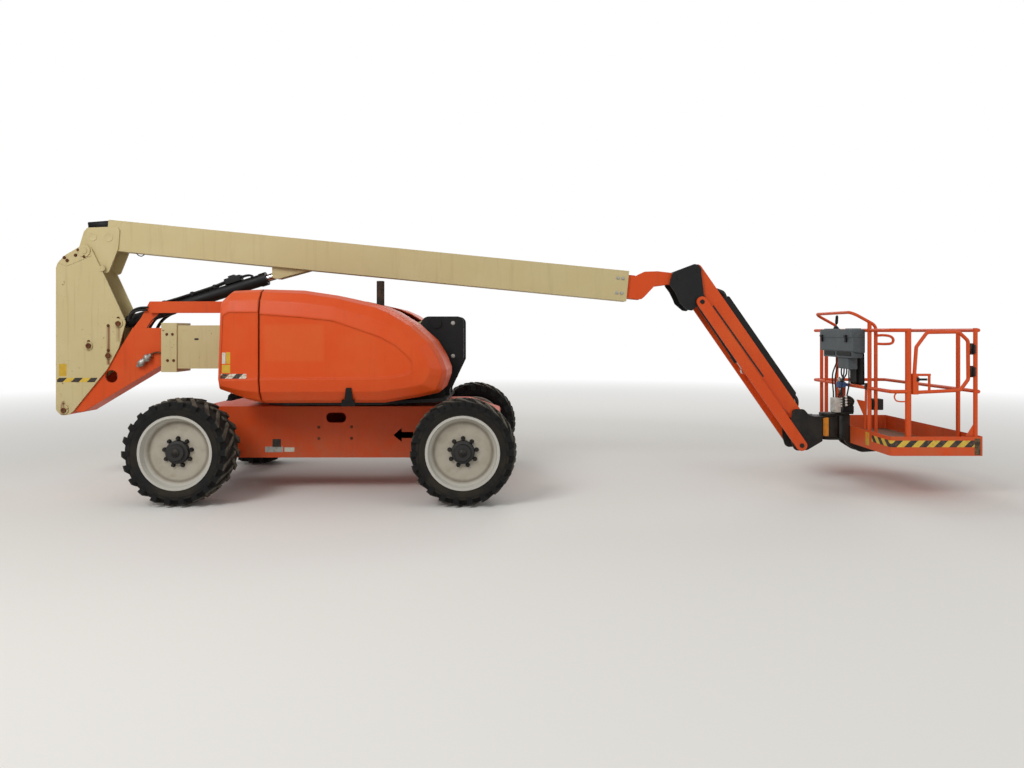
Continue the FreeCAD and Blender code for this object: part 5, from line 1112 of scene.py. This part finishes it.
piece("console_boot", ribbed_boot(*BOOT_BOX, 22, 0.10), cover_plastic, "platform")
piece("receptacle_box", boxes(RECEPTACLE, 0.10, 14, 28), black_satin, "platform")
piece("mid_rail_clamp", boxes(RAIL_CLAMP), black_satin, "platform")
hinge_parts = [lathe(SLEEVE, (HINGE_X, HINGE_Y, z), (0, 0, 1), 20) for z in HINGE_Z]
for z in HINGE_Z:
    leaf_low = (HINGE_X + 0.004, HINGE_Y - 0.026, z - 0.040)
    hinge_parts.append(soft_box(leaf_low, (HINGE_X + 0.024, HINGE_Y - 0.014, z + 0.040), 0.12, 8, 20))
piece("gate_hinge_covers", merged(*hinge_parts), black_satin, "platform")
piece("gate_latch_handle", boxes(GATE_HANDLE), black_satin, "gate")
print("boot, boxes and", len(HINGE_Z), "hinges done")

# %% [markdown]
# ## Valves and hoses of the platform
# Beside the rotator sits a pale manifold with a fan of hydraulic hoses, each marked by a white band of
# tape. The hoses end in a black tray that stays above the rotator when the platform turns. They are held at
# both ends, so each is a tube along a smooth path.

# %% Manifold and its fan of hoses
MANIFOLD = [
    ((3.392, -0.170, 0.712), (3.452, -0.052, 0.856)),
    ((3.384, -0.150, 0.730), (3.396, -0.125, 0.755)),
    ((3.384, -0.100, 0.800), (3.396, -0.075, 0.825)),
]
FAN_COUNT = 7
FAN_HOSE_RADIUS, BAND_RADIUS = 0.0095, 0.0112
FAN_START_X, FAN_END_X = 3.448, 3.590
FAN_END_Z = 0.764
UNION = [(0.013, -0.004), (0.013, 0.018), (0.010, 0.021)]

piece("platform_manifold", boxes(MANIFOLD, 0.10, 14, 28), cast_aluminium, "platform")
hose_parts, band_parts, nut_parts = [], [], []
for index in range(FAN_COUNT):
    share = index / (FAN_COUNT - 1)
    start = np.array([FAN_START_X, -0.165 + 0.02 * (index % 2), 0.846 - 0.076 * share])
    finish_at = np.array([FAN_END_X - 0.012 * index, -0.100 + 0.022 * (index % 2), FAN_END_Z])
    crest = start + (0.075, -0.012, 0.028 - 0.010 * share)
    fall = (crest + finish_at) / 2 + (0.030 - 0.012 * share, -0.012, 0.012)
    path = smooth_path([start, start + (0.035, -0.004, 0.014), crest, fall, finish_at], 7)
    hose_parts.append(tube(path, FAN_HOSE_RADIUS, 10))
    band_parts.append(tube(path[9:13], BAND_RADIUS, 12))
    nut_parts.append(lathe(UNION, start, (1, -0.1, 0.35), 6))
piece("manifold_hoses", merged(*hose_parts), hose_rubber, "platform")
piece("manifold_hose_bands", merged(*band_parts), white_tape, "platform")
flat_piece("manifold_unions", merged(*nut_parts), zinc, "platform")
print("hoses in the fan", FAN_COUNT)

# %% [markdown]
# A blue valve hangs from the middle rail, with three zinc-plated solenoids on it, and a bundle of cables
# drops from the console to the tray. Each cable is held at both ends too, and its middle point leans a
# little to a side of its own, so that the bundle looks loose.

# %% Blue valve, cables and tray
BLUE_VALVE = [
    ((3.470, -0.075, 0.955), (3.545, -0.015, 1.012)),
    ((3.545, -0.060, 0.968), (3.592, -0.030, 0.996)),
]
SOLENOID = [(0.010, 0), (0.019, 0.003), (0.019, 0.038), (0.012, 0.042), (0.010, 0.055), (0.004, 0.056)]
SOLENOID_X, SOLENOID_Y = (3.488, 3.522), -0.045
TRAY = [((3.452, -0.175, 0.696), (3.580, 0.090, 0.712)), ((3.500, -0.128, 0.705), (3.604, 0.070, 0.774))]
CABLE_COUNT, CABLE_RADIUS = 6, 0.0075
# y between which a cable leaves the small box under the console, whose foot is lower
LOWER_BOX_Y = (-0.24, 0.01)
BOX_FOOT, CONSOLE_FOOT = 1.165, 1.275

piece("blue_valve", boxes(BLUE_VALVE, 0.14, 12, 26), blue_paint, "platform")
solenoids = [lathe(SOLENOID, (x, SOLENOID_Y, 1.008), (0, 0, 1), 18) for x in SOLENOID_X]
solenoids.append(lathe(SOLENOID, (3.500, SOLENOID_Y, 0.960), (0, 0, -1), 18))
piece("valve_solenoids", merged(*solenoids), zinc, "platform")
cables = []
for index in range(CABLE_COUNT):
    y = -0.17 + 0.058 * index
    top = np.array([3.535, y, BOX_FOOT if LOWER_BOX_Y[0] < y < LOWER_BOX_Y[1] else CONSOLE_FOOT])
    low_point = np.array([3.515 - 0.012 * index, -0.12 + 0.03 * index, 0.745 + 0.012 * index])
    middle = (top + low_point) / 2 + (0.018 * math.cos(index * 2.1), 0.05 * math.sin(index * 1.7), 0.03)
    path = smooth_path([top, top - (0.004, 0, 0.07), middle, low_point + (0.006, 0, 0.07), low_point], 7)
    cables.append(tube(path, CABLE_RADIUS, 8))
piece("console_cables", merged(*cables), hose_rubber, "platform")
piece("cable_tray", boxes(TRAY, 0.10), black_satin, "platform")
print("cables", len(cables))

# %% [markdown]
# ## Platform plates and loops
# Small folded plates stiffen the platform: a gusset at the corner post's foot, a slanting one under the
# inner rail with a stay beside it, and a bracket by the manifold. A round bar bent into a ring on the
# middle rail takes a lanyard's hook, and a flatter one beside the console is a hand hold. An amber plate
# shields the rotator.

# %% Platform plates and loops
# corners, lift, thickness and corner radius of each orange plate
ORANGE_PLATES = {
    "post_foot_gusset": (
        [(4.279, -0.886, 0.573), (4.352, -0.886, 0.573), (4.352, -0.886, 0.688)], 0, 0.008, 0.004),
    "inner_rail_gusset": (
        [(3.597, -0.200, 0.846), (3.597, -0.386, 0.676), (3.597, -0.386, 0.846)], -0.004, 0.008, 0.008),
    "inner_rail_stay": (
        [(3.589, -0.386, 0.575), (3.597, -0.386, 0.980), (3.597, -0.420, 0.980), (3.589, -0.420, 0.575)],
        -0.004, 0.008, 0.006),
    "manifold_bracket": (
        [(3.470, 0.060, 0.700), (3.590, 0.060, 0.700), (3.597, 0.060, 0.975), (3.540, 0.060, 0.975)],
        0, 0.010, 0.008),
}
# x and z of the bent bars, and the y and radius of each
RING = [
    (3.745, 0.966), (3.690, 0.970), (3.648, 0.962), (3.632, 0.930),
    (3.648, 0.896), (3.690, 0.886), (3.745, 0.888),
]
HAND_HOLD = [
    (3.668, 1.484), (3.740, 1.488), (3.806, 1.478), (3.836, 1.448),
    (3.822, 1.412), (3.760, 1.403), (3.668, 1.406),
]
RING_BAR = (-0.886, 0.0065)
HAND_HOLD_BAR = (-0.452, 0.0125)
SHIELD = [(3.3000, -0.100, 0.466), (3.3560, -0.100, 0.466), (3.3560, -0.100, 0.654), (3.3000, -0.100, 0.654)]


def bent_bar(rows, y, radius):
    """Round bar bent in the plane of that y along a smooth path, whose two ends run into the rail."""
    return tube(smooth_path([(x, y, z) for x, z in rows], 7), radius, 12)


for name, (corners, lift, thickness, radius) in ORANGE_PLATES.items():
    flat_piece(name, plate(corners, lift, thickness, radius), orange_enamel, "platform")
piece("lanyard_ring", bent_bar(RING, *RING_BAR), orange_enamel, "platform")
piece("hand_hold", bent_bar(HAND_HOLD, *HAND_HOLD_BAR), orange_enamel, "platform")
flat_piece("rotator_shield", plate(SHIELD, 0, 0.006, 0.006), label_amber, "jib_carrier")
print("orange plates", len(ORANGE_PLATES))

# %% [markdown]
# ## Platform floor
# The floor is tread plate: raised bars, each turned a quarter turn from its neighbours. The sheet is one
# grid of heights, worked out from two sets of stretched bumps, and worn paint leaves it brown.

# %% Tread plate
FLOOR_Z = 0.4212
FLOOR_SHEET = 0.0006
FLOOR_EDGE = 0.010
TREAD_PITCH = 0.064
TREAD_HEIGHT = 0.0016
TREAD_GRID = (110, 230)


def tread(low, high, columns, rows):
    """Grid of heights: on a chequer of cells, a bump long one way or the other, cut off flat on top."""
    along_x, along_y = np.linspace(low[0], high[0], columns), np.linspace(low[1], high[1], rows)
    x, y = np.meshgrid(along_x, along_y, indexing="ij")
    u, v = (x + y) / TREAD_PITCH, (x - y) / TREAD_PITCH
    parity = (np.floor(u) + np.floor(v)) % 2
    across, along_bar = np.where(parity == 0, (u % 1, v % 1), (v % 1, u % 1))
    bump = 1.25 - ((across - 0.5) / 0.16) ** 2 - ((along_bar - 0.5) / 0.42) ** 2
    z = FLOOR_Z + TREAD_HEIGHT * np.clip(bump, 0, 1)
    top = np.stack([x, y, z], -1).reshape(-1, 3)
    index = np.arange(columns * rows).reshape(columns, rows)
    corners = [index[:-1, :-1], index[1:, :-1], index[1:, 1:], index[:-1, 1:]]
    faces = np.stack(corners, -1).reshape(-1, 4).tolist()
    rim = np.concatenate([index[:, 0], index[-1, 1:], index[-2::-1, -1], index[0, -2:0:-1]])
    under = top[rim] * (1, 1, 0) + (0, 0, FLOOR_Z - FLOOR_SHEET)
    start = len(top)
    ring = np.arange(len(rim))
    on = (ring + 1) % len(rim)
    skirt_faces = np.stack([rim, start + ring, start + on, rim[on]], -1).tolist()
    return np.vstack([top, under]), faces + skirt_faces + [(start + ring[::-1]).tolist()]


floor_low = np.array([deck_low[0] + FLOOR_EDGE, deck_low[1] + FLOOR_EDGE])
floor_high = np.array([deck_high[0] - FLOOR_EDGE, deck_high[1] - FLOOR_EDGE])
tread_plate = tread(floor_low, floor_high, *TREAD_GRID)
flat_piece("tread_plate", tread_plate, worn_tread, "platform")

# %% [markdown]
# ## Floor and light
# The floor is a plain pale plane that fades to white with distance, so that no horizon is left against the
# white dome. Only camera rays see the fade, and the light that bounces off the floor stays even.

# %% Floor
FLOOR_FADE = (5.5, 17.0)
FLOOR_REACH = 300
FLOOR_DROP = 0.0005
FLOOR_COLOUR = "#E4E2DD"
WHITE = (1, 1, 1, 1)

signs = np.array([[-1, -1, 0], [1, -1, 0], [1, 1, 0], [-1, 1, 0]], float)
floor_mesh = bpy.data.meshes.new("floor")
floor_mesh.from_pydata((signs * FLOOR_REACH - (0, 0, FLOOR_DROP)).tolist(), [], [[0, 1, 2, 3]])
floor = bpy.data.objects.new("floor", floor_mesh)
bpy.context.collection.objects.link(floor)
floor_finish, tree = material("pale_floor")
floor_place = add(tree, "TexCoord").outputs["Object"]
away = add(tree, "VectorMath", {"operation": "LENGTH"}, i0=floor_place).outputs["Value"]
ground = add(tree, "BsdfDiffuse")
ground.inputs["Color"].default_value = linear(FLOOR_COLOUR)
glow = add(tree, "Emission")
glow.inputs["Color"].default_value = WHITE
seen = add(tree, "LightPath").outputs["Is Camera Ray"]
far_off = maths(tree, "MULTIPLY", ramp(tree, away, *FLOOR_FADE), seen)
blend = add(tree, "MixShader", i0=far_off, i1=ground.outputs[0], i2=glow.outputs[0])
finish_material(floor_finish, blend.outputs[0], FLOOR_COLOUR)
floor_mesh.materials.append(floor_finish)
print("floor fades to white from", FLOOR_FADE[0], "to", FLOOR_FADE[1], "m")

# %% [markdown]
# The sky is an even pale dome, so that a colour renders about as it is written. Camera rays and reflections
# see it as white, and it lights the scene at half that strength. A broad lamp from the front left gives the
# panels their shape, a weaker one fills in from the right, and one behind lights the upper edges.

# %% World and lamps
DOME_LIGHT, DOME_SEEN = 0.50, 1.0
# name: watts, size, place, aim
LAMPS = {
    "key_lamp": (520, 4.0, (-5.5, -8.0, 7.5), (0, 0, 1.0)),
    "fill_lamp": (110, 6.0, (7.0, -6.0, 4.0), (1.0, 0, 1.0)),
    "back_lamp": (260, 5.0, (2.0, 9.0, 8.0), (0, 0, 1.2)),
}

world = bpy.data.worlds.new("pale_dome")
bpy.context.scene.world = world
world.use_nodes = True
tree = world.node_tree
tree.nodes.clear()
rays = add(tree, "LightPath").outputs
mirrored_rays = maths(tree, "MAXIMUM", rays["Is Glossy Ray"], rays["Is Transmission Ray"])
seen = maths(tree, "MAXIMUM", rays["Is Camera Ray"], mirrored_rays)
dome = add(tree, "Background", Strength=ramp(tree, seen, 0.0, 1.0, DOME_LIGHT, DOME_SEEN))
dome.inputs["Color"].default_value = WHITE
add(tree, "OutputWorld", Surface=dome.outputs[0])


def lamp(name, energy, size, place, aim):
    """Square area lamp at a place, turned so that its -Z points at aim."""
    data = bpy.data.lights.new(name, "AREA")
    data.energy = energy
    data.size = size
    made = bpy.data.objects.new(name, data)
    made.location = place
    direction = np.asarray(aim, float) - np.asarray(place, float)
    flat = math.hypot(direction[0], direction[1])
    heading = math.atan2(direction[1], direction[0]) - math.pi / 2
    made.rotation_euler = (math.atan2(flat, -direction[2]), 0, heading)
    bpy.context.collection.objects.link(made)


for name, settings in LAMPS.items():
    lamp(name, *settings)
bpy.context.scene.view_settings.view_transform = "Standard"
print("lamps", len(LAMPS))
